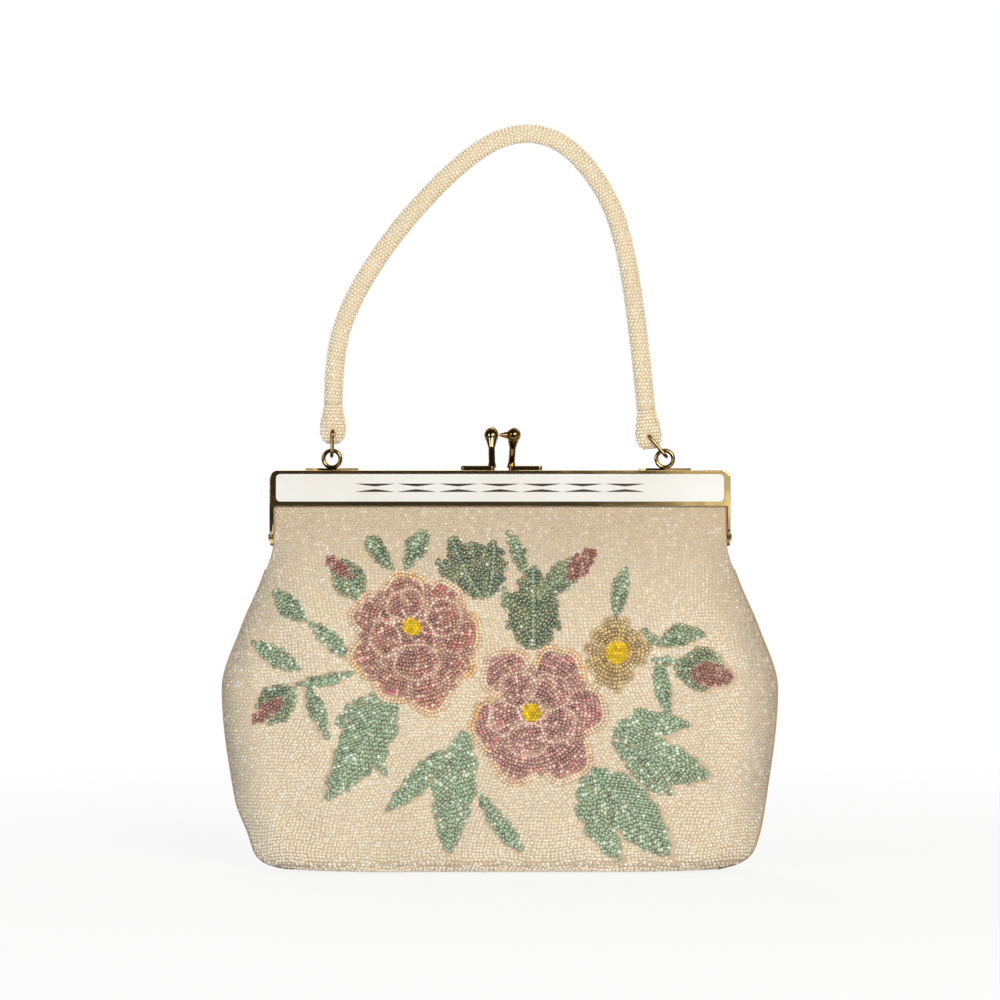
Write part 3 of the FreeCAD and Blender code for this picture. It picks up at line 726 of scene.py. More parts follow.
class Shell:
    # a grid of points over one side, row 0 at the top and the last row on the bottom seam
    def __init__(self, side, inset, top, floorGap, sewnTo):
        self.side = side
        lift = floorGap / top
        heights = np.linspace(top, 0, pouch["heightSamples"])
        depths = section(heights, np.zeros(len(heights)), inset, sewnTo)[1]
        steps = np.r_[0, np.cumsum(np.hypot(np.diff(heights), np.diff(depths)))]
        self.faceLength = steps[-1]
        self.length = self.faceLength + depths[-1]
        rows = int(round(self.length / pouch["rowStep"])) + 1
        down = np.linspace(0, self.length, rows)
        self.rowGap = self.length / (rows - 1)
        self.rowZ = np.interp(down, steps, heights)
        tuck = np.clip((down - self.faceLength) / depths[-1], 0, 1)
        fine = np.sin(np.linspace(-math.pi / 2, math.pi / 2, pouch["acrossSamples"]))
        columns = pouch["columns"]
        self.place = np.zeros((rows, columns, 3))
        self.s = np.zeros((rows, columns))
        self.halfArc = np.zeros(rows)
        for row in range(rows):
            x, y = section(self.rowZ[row], fine, inset, sewnTo)
            y = y * (1 - tuck[row])
            arc = np.r_[0, np.cumsum(np.hypot(np.diff(x), np.diff(y)))]
            even = np.linspace(0, arc[-1], columns)
            self.s[row] = np.interp(even, arc, fine)
            self.place[row, :, 0] = np.interp(even, arc, x)
            self.place[row, :, 1] = side * np.interp(even, arc, y)
            self.halfArc[row] = arc[-1] / 2
        self.place[:, :, 2] = (floorGap + self.rowZ * (1 - lift))[:, None]
        self.settle()

    def settle(self):
        tangentU = np.gradient(self.place, axis=1)
        tangentV = np.gradient(self.place, axis=0)
        out = self.side * np.cross(tangentU, tangentV)
        out /= np.maximum(np.linalg.norm(out, axis=2), tiny)[..., None]
        self.out = out
        self.across = tangentU / np.maximum(np.linalg.norm(tangentU, axis=2), tiny)[..., None]
        self.up = np.cross(self.out, self.across) * -self.side
        self.up *= np.where(self.up[..., 2:3] < 0, -1, 1)

    def sample(self, field, row, column):
        j = np.clip(row.astype(int), 0, field.shape[0] - 2)
        i = np.clip(column.astype(int), 0, field.shape[1] - 2)
        a, b = (row - j)[:, None], (column - i)[:, None]
        return ((1 - a) * (1 - b) * field[j, i] + (1 - a) * b * field[j, i + 1]
                + a * (1 - b) * field[j + 1, i] + a * b * field[j + 1, i + 1])

    def halfAt(self, row):
        return np.interp(row, np.arange(len(self.halfArc)), self.halfArc)

    def columnAt(self, row, across):
        return (across / self.halfAt(row) * 0.5 + 0.5) * (pouch["columns"] - 1)

    def rowAt(self, z):
        facing = self.rowZ[self.rowZ > pouch["onFace"]]
        return np.interp(-z, -facing, np.arange(len(facing)))

    def locate(self, x, z):
        # grid row and column of a spot named by its place on the flat front view
        row = self.rowAt(z)
        s = (x - leanAt(z)) / (wideAt(z) - pouch["sideInset"])
        column = np.zeros(len(x))
        nearest = np.clip(np.round(row).astype(int), 0, len(self.rowZ) - 1)
        for index in np.unique(nearest):
            here = nearest == index
            column[here] = np.interp(s[here], self.s[index], np.arange(pouch["columns"]))
        return row, column


def gridFaces(index, side):
    quads = np.stack([index[:-1, :-1], index[1:, :-1], index[1:, 1:], index[:-1, 1:]], -1).reshape(-1, 4)
    return quads if side < 0 else quads[:, ::-1]


def closedShell(name, shell, thickness, finish):
    outer = shell.place
    inner = shell.place - shell.out * thickness
    rows, columns = outer.shape[:2]
    least = shell.side * pouch["halfGap"]
    inner[:, :, 1] = np.where(shell.side * inner[:, :, 1] < pouch["halfGap"], least, inner[:, :, 1])
    inner[:, 0] = outer[:, 0] + (outer[:, 1] - outer[:, 0]) * pouch["edgeShare"]
    inner[:, -1] = outer[:, -1] + (outer[:, -2] - outer[:, -1]) * pouch["edgeShare"]
    points = np.concatenate([outer.reshape(-1, 3), inner.reshape(-1, 3)])
    offset = rows * columns
    index = np.arange(offset).reshape(rows, columns)
    quads = gridFaces(index, shell.side)
    rim = np.concatenate([index[0, :-1], index[:-1, -1], index[-1, :0:-1], index[:0:-1, 0]])
    nextRim = np.roll(rim, -1)
    edge = np.stack([rim, nextRim, nextRim + offset, rim + offset], -1)
    if shell.side > 0:
        edge = edge[:, ::-1]
    faces = np.concatenate([quads, quads[:, ::-1] + offset, edge])
    mesh = bpy.data.meshes.new(name)
    mesh.from_pydata((points * mm).tolist(), [], faces.tolist())
    smoothMesh(mesh)
    return newObject(name, mesh, finish)


def bothSides(inset, top, floorGap, sewnTo):
    return [Shell(side, inset, top, floorGap, sewnTo) for side in (-1, 1)]


frontShell, backShell = bothSides(pouch["inset"], pouch["levels"][-1][0], pouch["floorGap"], sewnTo=0)
frontLiningShell, backLiningShell = bothSides(
    pouch["liningInset"], pouch["liningTop"], pouch["floorGap"] + pouch["liningLift"], pouch["liningParts"])
sag = {
    "everyRow": 3,
    "everyColumn": 4,
    "weldDigits": 2,
    "heldAbove": 112.0,   # the frame's channel keeps the cloth still from here up
    "gravity": 0.4,
    "frames": 20,
    "most": 3.5,          # millimetres kept of the way the cloth would go
    "cloth": {
        "quality": 6,
        "mass": 0.3,
        "tension_stiffness": 20.0,
        "compression_stiffness": 20.0,
        "shear_stiffness": 10.0,
        "bending_stiffness": 6.0,
        "use_pressure": True,
        "uniform_pressure_force": 1.0,
    },
}


def pouchMesh(shells, rows, columns):
    known, points, grids, faces = {}, [], [], []
    for shell in shells:
        coarse = shell.place[np.ix_(rows, columns)]
        index = np.zeros(coarse.shape[:2], int)
        for j, i in np.ndindex(*index.shape):
            key = tuple(np.round(coarse[j, i], sag["weldDigits"]) + 0.0)
            index[j, i] = known.setdefault(key, len(known))
            if index[j, i] == len(points):
                points.append(coarse[j, i])
        faces += [tuple(quad) for quad in gridFaces(index, shell.side)]
        grids.append(index)
    mesh = bpy.data.meshes.new("softPouch")
    mesh.from_pydata((np.array(points) * mm).tolist(), [], [f for f in faces if len(set(f)) == 4])
    return mesh, np.array(points), grids


def fillPouch(mesh, points):
    soft = newObject("softPouch", mesh)
    held = soft.vertex_groups.new(name="held")
    held.add([int(i) for i in np.where(points[:, 2] > sag["heldAbove"])[0]], 1.0, "REPLACE")
    cloth = soft.modifiers.new("cloth", "CLOTH")
    settings = cloth.settings
    for key, value in sag["cloth"].items():
        setattr(settings, key, value)
    settings.vertex_group_mass = "held"
    settings.effector_weights.gravity = sag["gravity"]
    cloth.collision_settings.use_collision = False
    cloth.point_cache.frame_start = 1
    cloth.point_cache.frame_end = sag["frames"]
    for step in range(1, sag["frames"] + 1):
        scene.frame_set(step)
    graph = bpy.context.evaluated_depsgraph_get()
    settled = soft.evaluated_get(graph).data
    moved = np.zeros(len(points) * 3, np.float32)
    settled.vertices.foreach_get("co", moved)
    bpy.data.objects.remove(soft)
    scene.frame_set(1)
    return moved.reshape(-1, 3) / mm


def spread(coarse, rows, columns, rowMarks, columnMarks):
    # the shift of a coarse grid, drawn out to the points of a finer one
    fine = np.zeros((len(rowMarks), len(columnMarks), 3))
    for k in range(3):
        wide = np.stack([np.interp(columnMarks, columns, line[:, k]) for line in coarse])
        fine[..., k] = np.stack([np.interp(rowMarks, rows, line) for line in wide.T], 1)
    return fine


def sagPouch(shells, linings):
    rows = np.unique(np.r_[0:shells[0].place.shape[0]:sag["everyRow"], shells[0].place.shape[0] - 1])
    columns = np.arange(0, pouch["columns"], sag["everyColumn"])
    mesh, points, grids = pouchMesh(shells, rows, columns)
    shift = fillPouch(mesh, points) - points
    size = np.linalg.norm(shift, axis=1)
    shift *= np.minimum(1, sag["most"] / np.maximum(size, tiny))[:, None]
    print("pouch filled, cloth would move", round(float(size.max()), 2), "mm, kept to", sag["most"])
    for index, shell, lining in zip(grids, shells, linings):
        for target in (shell, lining):
            count = target.place.shape[0]
            rowMarks = np.arange(count) / (count - 1) * rows[-1]
            target.place += spread(shift[index], rows, columns, rowMarks, np.arange(pouch["columns"]))
            target.place[..., 2] = np.maximum(target.place[..., 2], pouch["floorGap"])
            target.settle()


sagPouch([frontShell, backShell], [frontLiningShell, backLiningShell])
frontCloth = closedShell("frontCloth", frontShell, pouch["clothThickness"], backingCloth)
backCloth = closedShell("backCloth", backShell, pouch["clothThickness"], backingCloth)
frontLining = closedShell("frontLining", frontLiningShell, pouch["liningThickness"], liningSatin)
backLining = closedShell("backLining", backLiningShell, pouch["liningThickness"], liningSatin)
print("pouch shells lofted, face", round(frontShell.faceLength, 1), "mm long")


# flower spray: outlines and bead rows on the flat front view, across and up in millimetres

beadSizes = {
    "field": (0.76, 0.7, 0.6),
    "petal": (0.9, 0.76, 0.62),
    "outline": (0.84, 0.8, 0.64),
    "heart": (0.84, 0.8, 0.64),
    "leaf": (1.02, 0.74, 0.6),
    "bud": (0.9, 0.72, 0.6),
    "edge": (0.82, 0.8, 0.72),
}
hues = {
    # field is the hue in the painted shade under the frame, fieldLow the paler hue lower down
    "field": paint(201, 184, 156),
    "fieldLow": paint(231, 218, 192),
    "mauve": paint(188, 128, 102),
    "plum": paint(126, 72, 64),
    "pink": paint(240, 196, 176),
    "orchid": paint(196, 138, 128),
    "cerise": paint(208, 104, 110),
    "gold": paint(228, 180, 114),
    "peach": paint(228, 186, 146),
    "blush": paint(206, 160, 138),
    "yellow": paint(222, 186, 8),
    "leaf": paint(136, 160, 122),
    "leafDark": paint(78, 102, 66),
    "leafWarm": paint(140, 150, 94),
    "leafPale": paint(216, 228, 206),
    "bud": paint(132, 56, 42),
    "daisy": paint(132, 98, 34),
    "daisyPale": paint(206, 170, 74),
    "daisyFade": paint(212, 188, 144),
}


def signedGap(points, outline):
    # distance from the outline, less than nothing inside it
    a = outline
    b = np.roll(outline, -1, axis=0)
    run = b - a
    apart = points[:, None] - a[None]
    t = np.clip((apart * run).sum(2) / np.maximum((run * run).sum(1), tiny), 0, 1)
    gap = np.linalg.norm(apart - t[..., None] * run, axis=2).min(1)
    x, z = points[:, :1], points[:, 1:]
    crosses = (a[:, 1] > z) != (b[:, 1] > z)
    slope = run[:, 0] / np.where(np.abs(run[:, 1]) < tiny, tiny, run[:, 1])
    inside = (crosses & (x < a[:, 0] + slope * (z - a[:, 1]))).sum(1) % 2 == 1
    return np.where(inside, -gap, gap)


def shape(outline, spots, turns, sizeName, tints, finish):
    return {"outline": np.array(outline), "spots": np.array(spots).reshape(-1, 2), "turns": np.array(turns),
            "size": sizeName, "tints": np.array(tints).reshape(-1, 3), "finish": finish}


def mixHue(a, b, share):
    share = np.asarray(share)[..., None]
    return np.asarray(a) * (1 - share) + np.asarray(b) * share


threads = {
    "stray": 0.1,          # how far a bead strays from its row, and turns
    "turnStray": 0.12,
    "headingReach": 0.3,
    "firstRing": 1.0,
    "ringStep": 1.42,
    "ringPitch": 1.16,
    "ringTwist": 0.13,
    "fewestInRing": 5,
    "underGap": 0.3,
}


def stray(spots, turns):
    spots = spots + dice.normal(0, threads["stray"], spots.shape)
    return spots, turns + dice.normal(0, threads["turnStray"], len(turns))


def fullTurn(count):
    return np.linspace(0, 2 * math.pi, count, endpoint=False)


def ringAt(turn):
    return np.stack([np.cos(turn), np.sin(turn)], 1)


def oval(middle, along, aside, lean, swell):
    turn = fullTurn(len(swell))
    u, v = along * np.cos(turn) * swell, aside * np.sin(turn) * swell
    x = u * math.cos(lean) - v * math.sin(lean)
    z = u * math.sin(lean) + v * math.cos(lean)
    return middle + np.stack([x, z], 1)


def course(start, end):
    run = end - start
    length = np.linalg.norm(run)
    ahead = run / length
    return run, length, ahead, np.array([-ahead[1], ahead[0]])


def band(middle, side, half):
    return np.vstack([middle + side * half[:, None], (middle - side * half[:, None])[::-1]])


def evenAlong(outline, pitch):
    closed = np.vstack([outline, outline[:1]])
    steps = runLengths(closed)
    count = max(3, int(steps[-1] / pitch))
    marks = np.arange(count) * steps[-1] / count
    spots = np.stack([np.interp(marks, steps, closed[:, k]) for k in (0, 1)], 1)
    onward = (marks + threads["headingReach"]) % steps[-1]
    heading = np.stack([np.interp(onward, steps, closed[:, k]) for k in (0, 1)], 1) - spots
    return spots, np.arctan2(heading[:, 1], heading[:, 0])


leafForm = {
    "outlineSteps": 40,
    "fullness": 0.75,
    "toothDepth": 0.24,
    "slant": math.radians(38),
    "rowStep": 1.08,
    "pitch": 1.6,
    "firstRow": -0.25,
    "firstBead": 0.45,
    "stagger": 0.2,
    "mostInRow": 40,
    "nearBase": 0.02,
    "nearTip": 0.99,
    "edgeGap": 0.05,
    "ribFrom": 0.03,
    "ribTo": 0.97,
    "ribPitch": 1.3,
    "glow": 0.55,
    "glowWave": 0.2,
    "glowTurn": 0.9,
    "sideGlow": 0.1,
    "glowSpread": (-0.35, 0.35),
    "glints": 0.14,
    "shadeGlints": 0.2,
    "shadeDepth": 0.4,
    "paleness": (0.4, 1),
    "ribLight": (0.2, 0.9),
    "warmth": 3,
}


def leaf(base, tip, width, bend=0.0, teeth=0, shade=0.0, peak=0.42):
    base, tip = np.array(base), np.array(tip)
    run, length, ahead, side = course(base, tip)

    def rib(t):
        t = np.asarray(t)[..., None]
        return base + run * t + side * bend * 4 * t * (1 - t)

    def half(t):
        t = np.clip(t, 0, 1)
        full = width / 2 * np.sin(math.pi * t ** (math.log(0.5) / math.log(peak))) ** leafForm["fullness"]
        if teeth:
            full = full * (1 - leafForm["toothDepth"] * ((t * teeth) % 1))
        return full

    def greenAt(row, way):
        glow = (leafForm["glow"] + leafForm["glowWave"] * math.sin(row * leafForm["glowTurn"])
                + leafForm["sideGlow"] * way - shade + dice.uniform(*leafForm["glowSpread"]))
        low = mixHue(hues["leafDark"], green, np.clip(glow * 2, 0, 1))
        glinting = dice.random() < leafForm["glints"] - leafForm["shadeGlints"] * shade
        glint = dice.uniform(*leafForm["paleness"]) if glinting else 0
        return mixHue(low, hues["leafPale"], glint) * (1 - leafForm["shadeDepth"] * max(0, shade))

    ts = np.linspace(0, 1, leafForm["outlineSteps"])
    outline = band(rib(ts), side, half(ts))
    slant = leafForm["slant"]
    rowStep = leafForm["rowStep"] / math.sin(slant) / length
    green = mixHue(hues["leaf"], hues["leafWarm"], np.clip(leafForm["warmth"] * shade, 0, 1))
    spots, turns, tints = [], [], []
    for row, start in enumerate(np.arange(leafForm["firstRow"], 1.0, rowStep)):
        for way in (1, -1):
            heading = ahead * math.cos(slant) + side * way * math.sin(slant)
            for step in range(leafForm["mostInRow"]):
                out = (step + leafForm["firstBead"] + leafForm["stagger"] * (row % 2)) * leafForm["pitch"]
                t = start + out * math.cos(slant) / length
                aside = out * math.sin(slant)
                if leafForm["nearBase"] < t < leafForm["nearTip"] and aside < half(t) - leafForm["edgeGap"]:
                    spots.append(rib(t) + side * way * aside)
                    turns.append(math.atan2(heading[1], heading[0]))
                    tints.append(greenAt(row, way))
    for t in np.arange(leafForm["ribFrom"], leafForm["ribTo"], leafForm["ribPitch"] / length):
        spots.append(rib(t))
        turns.append(math.atan2(ahead[1], ahead[0]))
        tints.append(mixHue(hues["leafDark"], hues["leaf"], dice.uniform(*leafForm["ribLight"])))
    spots, turns = stray(np.array(spots), np.array(turns))
    return shape(outline, spots, turns, "leaf", tints, "leaf")


def polarSpots(heart, reach):
    spots, turns = [], []
    for ring, radius in enumerate(np.arange(threads["firstRing"], reach, threads["ringStep"])):
        count = max(threads["fewestInRing"], int(2 * math.pi * radius / threads["ringPitch"]))
        angles = 2 * math.pi * (np.arange(count) + 0.5 * (ring % 2)) / count + threads["ringTwist"] * ring
        spots.append(heart + radius * ringAt(angles))
        turns.append(angles)
    return stray(np.concatenate(spots), np.concatenate(turns))


petalForm = {
    "corners": 48,
    "ripples": 5,
    "rippleDepth": 0.05,
    "slowRipples": 3,
    "slowDepth": 0.03,
    "rimShare": 0.96,
    "rimStep": 1.2,
    "rimPitch": 1.3,
    "rimSpread": 0.2,
    "rimGlints": 0.06,
    "rimWear": 0.36,       # towards the field's own hue
    "wearMean": 0.45,
    "wearWave": 0.3,
    "wearSpread": 0.3,
    "depthShare": 0.75,    # paler away from the heart, in clouds
    "cloudShare": 0.35,
    "cloudWaves": (0.7, 0.6),
    "lowShare": 0.15,
    "inside": 0.2,
    "dapple": (-0.4, 0.45),
    # painted highlights: this share of petal beads turns pale pink
    "pinkHighlightShare": 0.2,
    "paleness": (0.5, 1.0),
    "ceriseShare": 0.05,
}


def petalTints(share, hue):
    dapple = dice.uniform(*petalForm["dapple"], len(share))
    tints = mixHue(hues["plum"], hue, np.clip(share + dapple, 0, 1))
    # painted highlights: some petal beads are tinted pale pink
    pale = dice.random(len(share)) < petalForm["pinkHighlightShare"]
    tints[pale] = mixHue(tints[pale], hues["pink"], dice.uniform(*petalForm["paleness"], pale.sum()))
    tints[dice.random(len(share)) < petalForm["ceriseShare"]] = hues["cerise"]
    return tints


def petalRim(middle, outline, radial, edgeHue, rimRows, phase):
    shares = [petalForm["rimShare"] - petalForm["rimStep"] * row / radial for row in range(rimRows)]
    rows = [evenAlong(middle + (outline - middle) * share, petalForm["rimPitch"]) for share in shares]
    spots = np.concatenate([spots for spots, turns in rows])
    turns = np.concatenate([turns for spots, turns in rows])
    around = np.arctan2(spots[:, 1] - middle[1], spots[:, 0] - middle[0])
    chance = dice.uniform(-petalForm["wearSpread"], petalForm["wearSpread"], len(around))
    wave = petalForm["wearWave"] * np.sin(2 * around + 2 * phase)
    worn = np.clip(petalForm["wearMean"] + wave + chance, 0, 1)
    fresh = beadTints(edgeHue, len(spots), petalForm["rimSpread"], petalForm["rimGlints"])
    tints = mixHue(fresh, hues["fieldLow"], petalForm["rimWear"] * rimRows * worn)
    return shape(outline, spots, turns, "outline", tints, "flower")


def petal(heart, offset, radial, across, hue, edgeHue, rimRows, phase):
    heart, offset = np.array(heart), np.array(offset)
    turn = fullTurn(petalForm["corners"])
    quick = petalForm["rippleDepth"] * np.sin(petalForm["ripples"] * turn + phase)
    slow = petalForm["slowDepth"] * np.sin(petalForm["slowRipples"] * turn + 2 * phase)
    swell = 1 + quick + slow
    middle = heart + offset
    outline = oval(middle, radial, across, math.atan2(offset[1], offset[0]), swell)
    rim = petalRim(middle, outline, radial, edgeHue, rimRows, phase)
    reach = np.linalg.norm(offset) + max(radial, across)
    spots, turns = polarSpots(heart, reach)
    keep = signedGap(spots, outline) < petalForm["inside"] - petalForm["rimStep"] * rimRows
    spots, turns = spots[keep], turns[keep]
    depth = np.clip(np.linalg.norm(spots - heart, axis=1) / max(reach, 1), 0, 1)
    waves = spots * petalForm["cloudWaves"]
    cloud = 0.5 + 0.5 * np.sin(waves[:, 0] + phase * 3) * np.sin(waves[:, 1] + phase)
    share = petalForm["depthShare"] * depth + petalForm["cloudShare"] * cloud - petalForm["lowShare"]
    tints = petalTints(share, hue)
    fill = shape(outline, spots, turns, "petal", tints, "flower")
    fill["under"] = rim
    return [rim, fill]


heartForm = {"corners": 24, "widest": 9, "pitch": 1.22, "rowStep": 1.08, "inside": 0.2, "tintSpread": 0.3}


def heartPatch(centre, wide, tall, lean):
    centre = np.array(centre)
    outline = oval(centre, wide / 2, tall / 2, lean, np.ones(heartForm["corners"]))
    widest, pitch = heartForm["widest"], heartForm["pitch"]
    xs, zs = np.meshgrid(np.arange(-widest, widest, pitch), np.arange(-widest, widest, heartForm["rowStep"]))
    xs[1::2] += pitch / 2
    spots = np.stack([xs.ravel(), zs.ravel()], 1) + centre
    spots = spots[signedGap(spots, outline) < heartForm["inside"]]
    tints = beadTints(hues["yellow"], len(spots), heartForm["tintSpread"], 0.0)
    return shape(outline, spots, np.full(len(spots), lean), "heart", tints, "heart")


roseForm = {
    "phase": 1.7,
    "outerPhase": 0.8,
    "overlap": 0.9,        # a rim this near another lobe is in its shade
    "rimShade": 0.7,
    "bedCorners": 30,
    "bedReach": 0.9,
    "bedGap": 0.5,
    "bedLight": 0.6,
}


def rose(heart, patch, inner, outer, hue, edgeHues):
    shapes = [heartPatch(heart, *patch)]
    for index, facts in enumerate(inner):
        shapes += petal(heart, *facts, hues[hue], hues["blush"], 1, roseForm["phase"] * index)
    lobes = []
    for index, facts in enumerate(outer):
        edgeHue = hues[edgeHues[index % len(edgeHues)]]
        phase = roseForm["phase"] * index + roseForm["outerPhase"]
        lobes.append(petal(heart, *facts, hues[hue], edgeHue, 2, phase))
    for rim, fill in lobes:
        others = [lobe[0]["outline"] for lobe in lobes if lobe[0] is not rim]
        gaps = [signedGap(rim["spots"], outline) for outline in others]
        within = np.min(gaps, axis=0) < roseForm["overlap"]
        shade = dice.uniform(0, roseForm["rimShade"], within.sum())
        rim["tints"][within] = mixHue(hues["blush"], hues["plum"], shade)
        shapes += [rim, fill]
    offsets = [offset for offset, radial, across in outer]
    reach = max(np.hypot(*offset) for offset in offsets)
    ring = ringAt(fullTurn(roseForm["bedCorners"]))
    bed = np.mean(offsets, axis=0) + heart + roseForm["bedReach"] * reach * ring
    spots, turns = polarSpots(np.array(heart), 2 * reach)
    keep = signedGap(spots, bed) < -roseForm["bedGap"]
    tints = petalTints(dice.uniform(0, roseForm["bedLight"], keep.sum()), hues[hue])
    shapes.append(shape(bed, spots[keep], turns[keep], "petal", tints, "flower"))
    return shapes


budForm = {
    "outlineSteps": 16,
    "rootShare": 0.1,
    "endShare": 0.84,
    "fullness": 0.75,
    "rowStep": 1.15,
    "pitch": 1.55,
    "stagger": 0.7,
    "stray": 0.12,
    "inside": 0.1,
    "firstBead": 0.1,
    "sideReach": 0.5,
    "pinkShare": (-0.9, 0.5),
    "leafShade": 0.22,
    "leafPeak": 0.5,
}


def bud(base, tip, width, root, end, breadth):
    # a round calyx with the furled petals standing out of it
    root, end = np.array(root), np.array(end)
    run, length, ahead, side = course(root, end)
    ts = np.linspace(0, 1, budForm["outlineSteps"])
    swell = np.sin(math.pi * (budForm["rootShare"] + budForm["endShare"] * ts)) ** budForm["fullness"]
    outline = band(root + run * ts[:, None], side, breadth / 2 * swell)
    asides = np.arange(-breadth / 2, breadth / 2 + budForm["sideReach"], budForm["rowStep"])
    spots, tints = [], []
    for row, aside in enumerate(asides):
        for out in np.arange(budForm["firstBead"], length, budForm["pitch"]):
            spot = root + side * aside + ahead * (out + budForm["stagger"] * (row % 2))
            spots.append(spot + dice.normal(0, budForm["stray"], 2))
            tints.append(mixHue(hues["bud"], hues["pink"], max(0, dice.uniform(*budForm["pinkShare"]))))
    spots, tints = np.array(spots), np.array(tints)
    keep = signedGap(spots, outline) < budForm["inside"]
    turns = math.atan2(ahead[1], ahead[0]) + dice.normal(0, threads["turnStray"], keep.sum())
    petals = shape(outline, spots[keep], turns, "bud", tints[keep], "flower")
    return [petals, leaf(base, tip, width, shade=budForm["leafShade"], peak=budForm["leafPeak"])]


daisyForm = {
    "corners": 66,
    "scallops": 11,
    "scallopDepth": 0.8,
    "inside": 0.2,
    "stripes": 9,
    "stripePhase": 2.1,
    "stripeDepth": 0.35,
    "stripeSpread": 0.4,
    "fadeReach": 6.0,
    "fadeShare": (0.2, 1.0),
}


def daisy(heart, patch, reaches):
    # reaches run anticlockwise from the right in equal turns
    turn = fullTurn(daisyForm["corners"])
    corners = np.linspace(0, 2 * math.pi, len(reaches) + 1)
    reach = np.interp(turn, corners, list(reaches) + [reaches[0]])
    reach = reach + daisyForm["scallopDepth"] * np.sin(daisyForm["scallops"] * turn)
    outline = np.array(heart) + reach[:, None] * ringAt(turn)
    spots, turns = polarSpots(np.array(heart), max(reaches) + 1)
    keep = signedGap(spots, outline) < -daisyForm["inside"]
    spots, turns = spots[keep], turns[keep]
    wave = np.sin(daisyForm["stripes"] * turns + daisyForm["stripePhase"])
    chance = dice.uniform(-daisyForm["stripeSpread"], daisyForm["stripeSpread"], len(turns))
    stripe = np.clip(0.5 + daisyForm["stripeDepth"] * wave + chance, 0, 1)
    tints = mixHue(hues["daisy"], hues["daisyPale"], stripe)
    edge = np.clip(1 + signedGap(spots, outline) / daisyForm["fadeReach"], 0, 1)
    tints = mixHue(tints, hues["daisyFade"], edge * dice.uniform(*daisyForm["fadeShare"], len(turns)))
    return [heartPatch(heart, *patch), shape(outline, spots, turns, "petal", tints, "flower")]


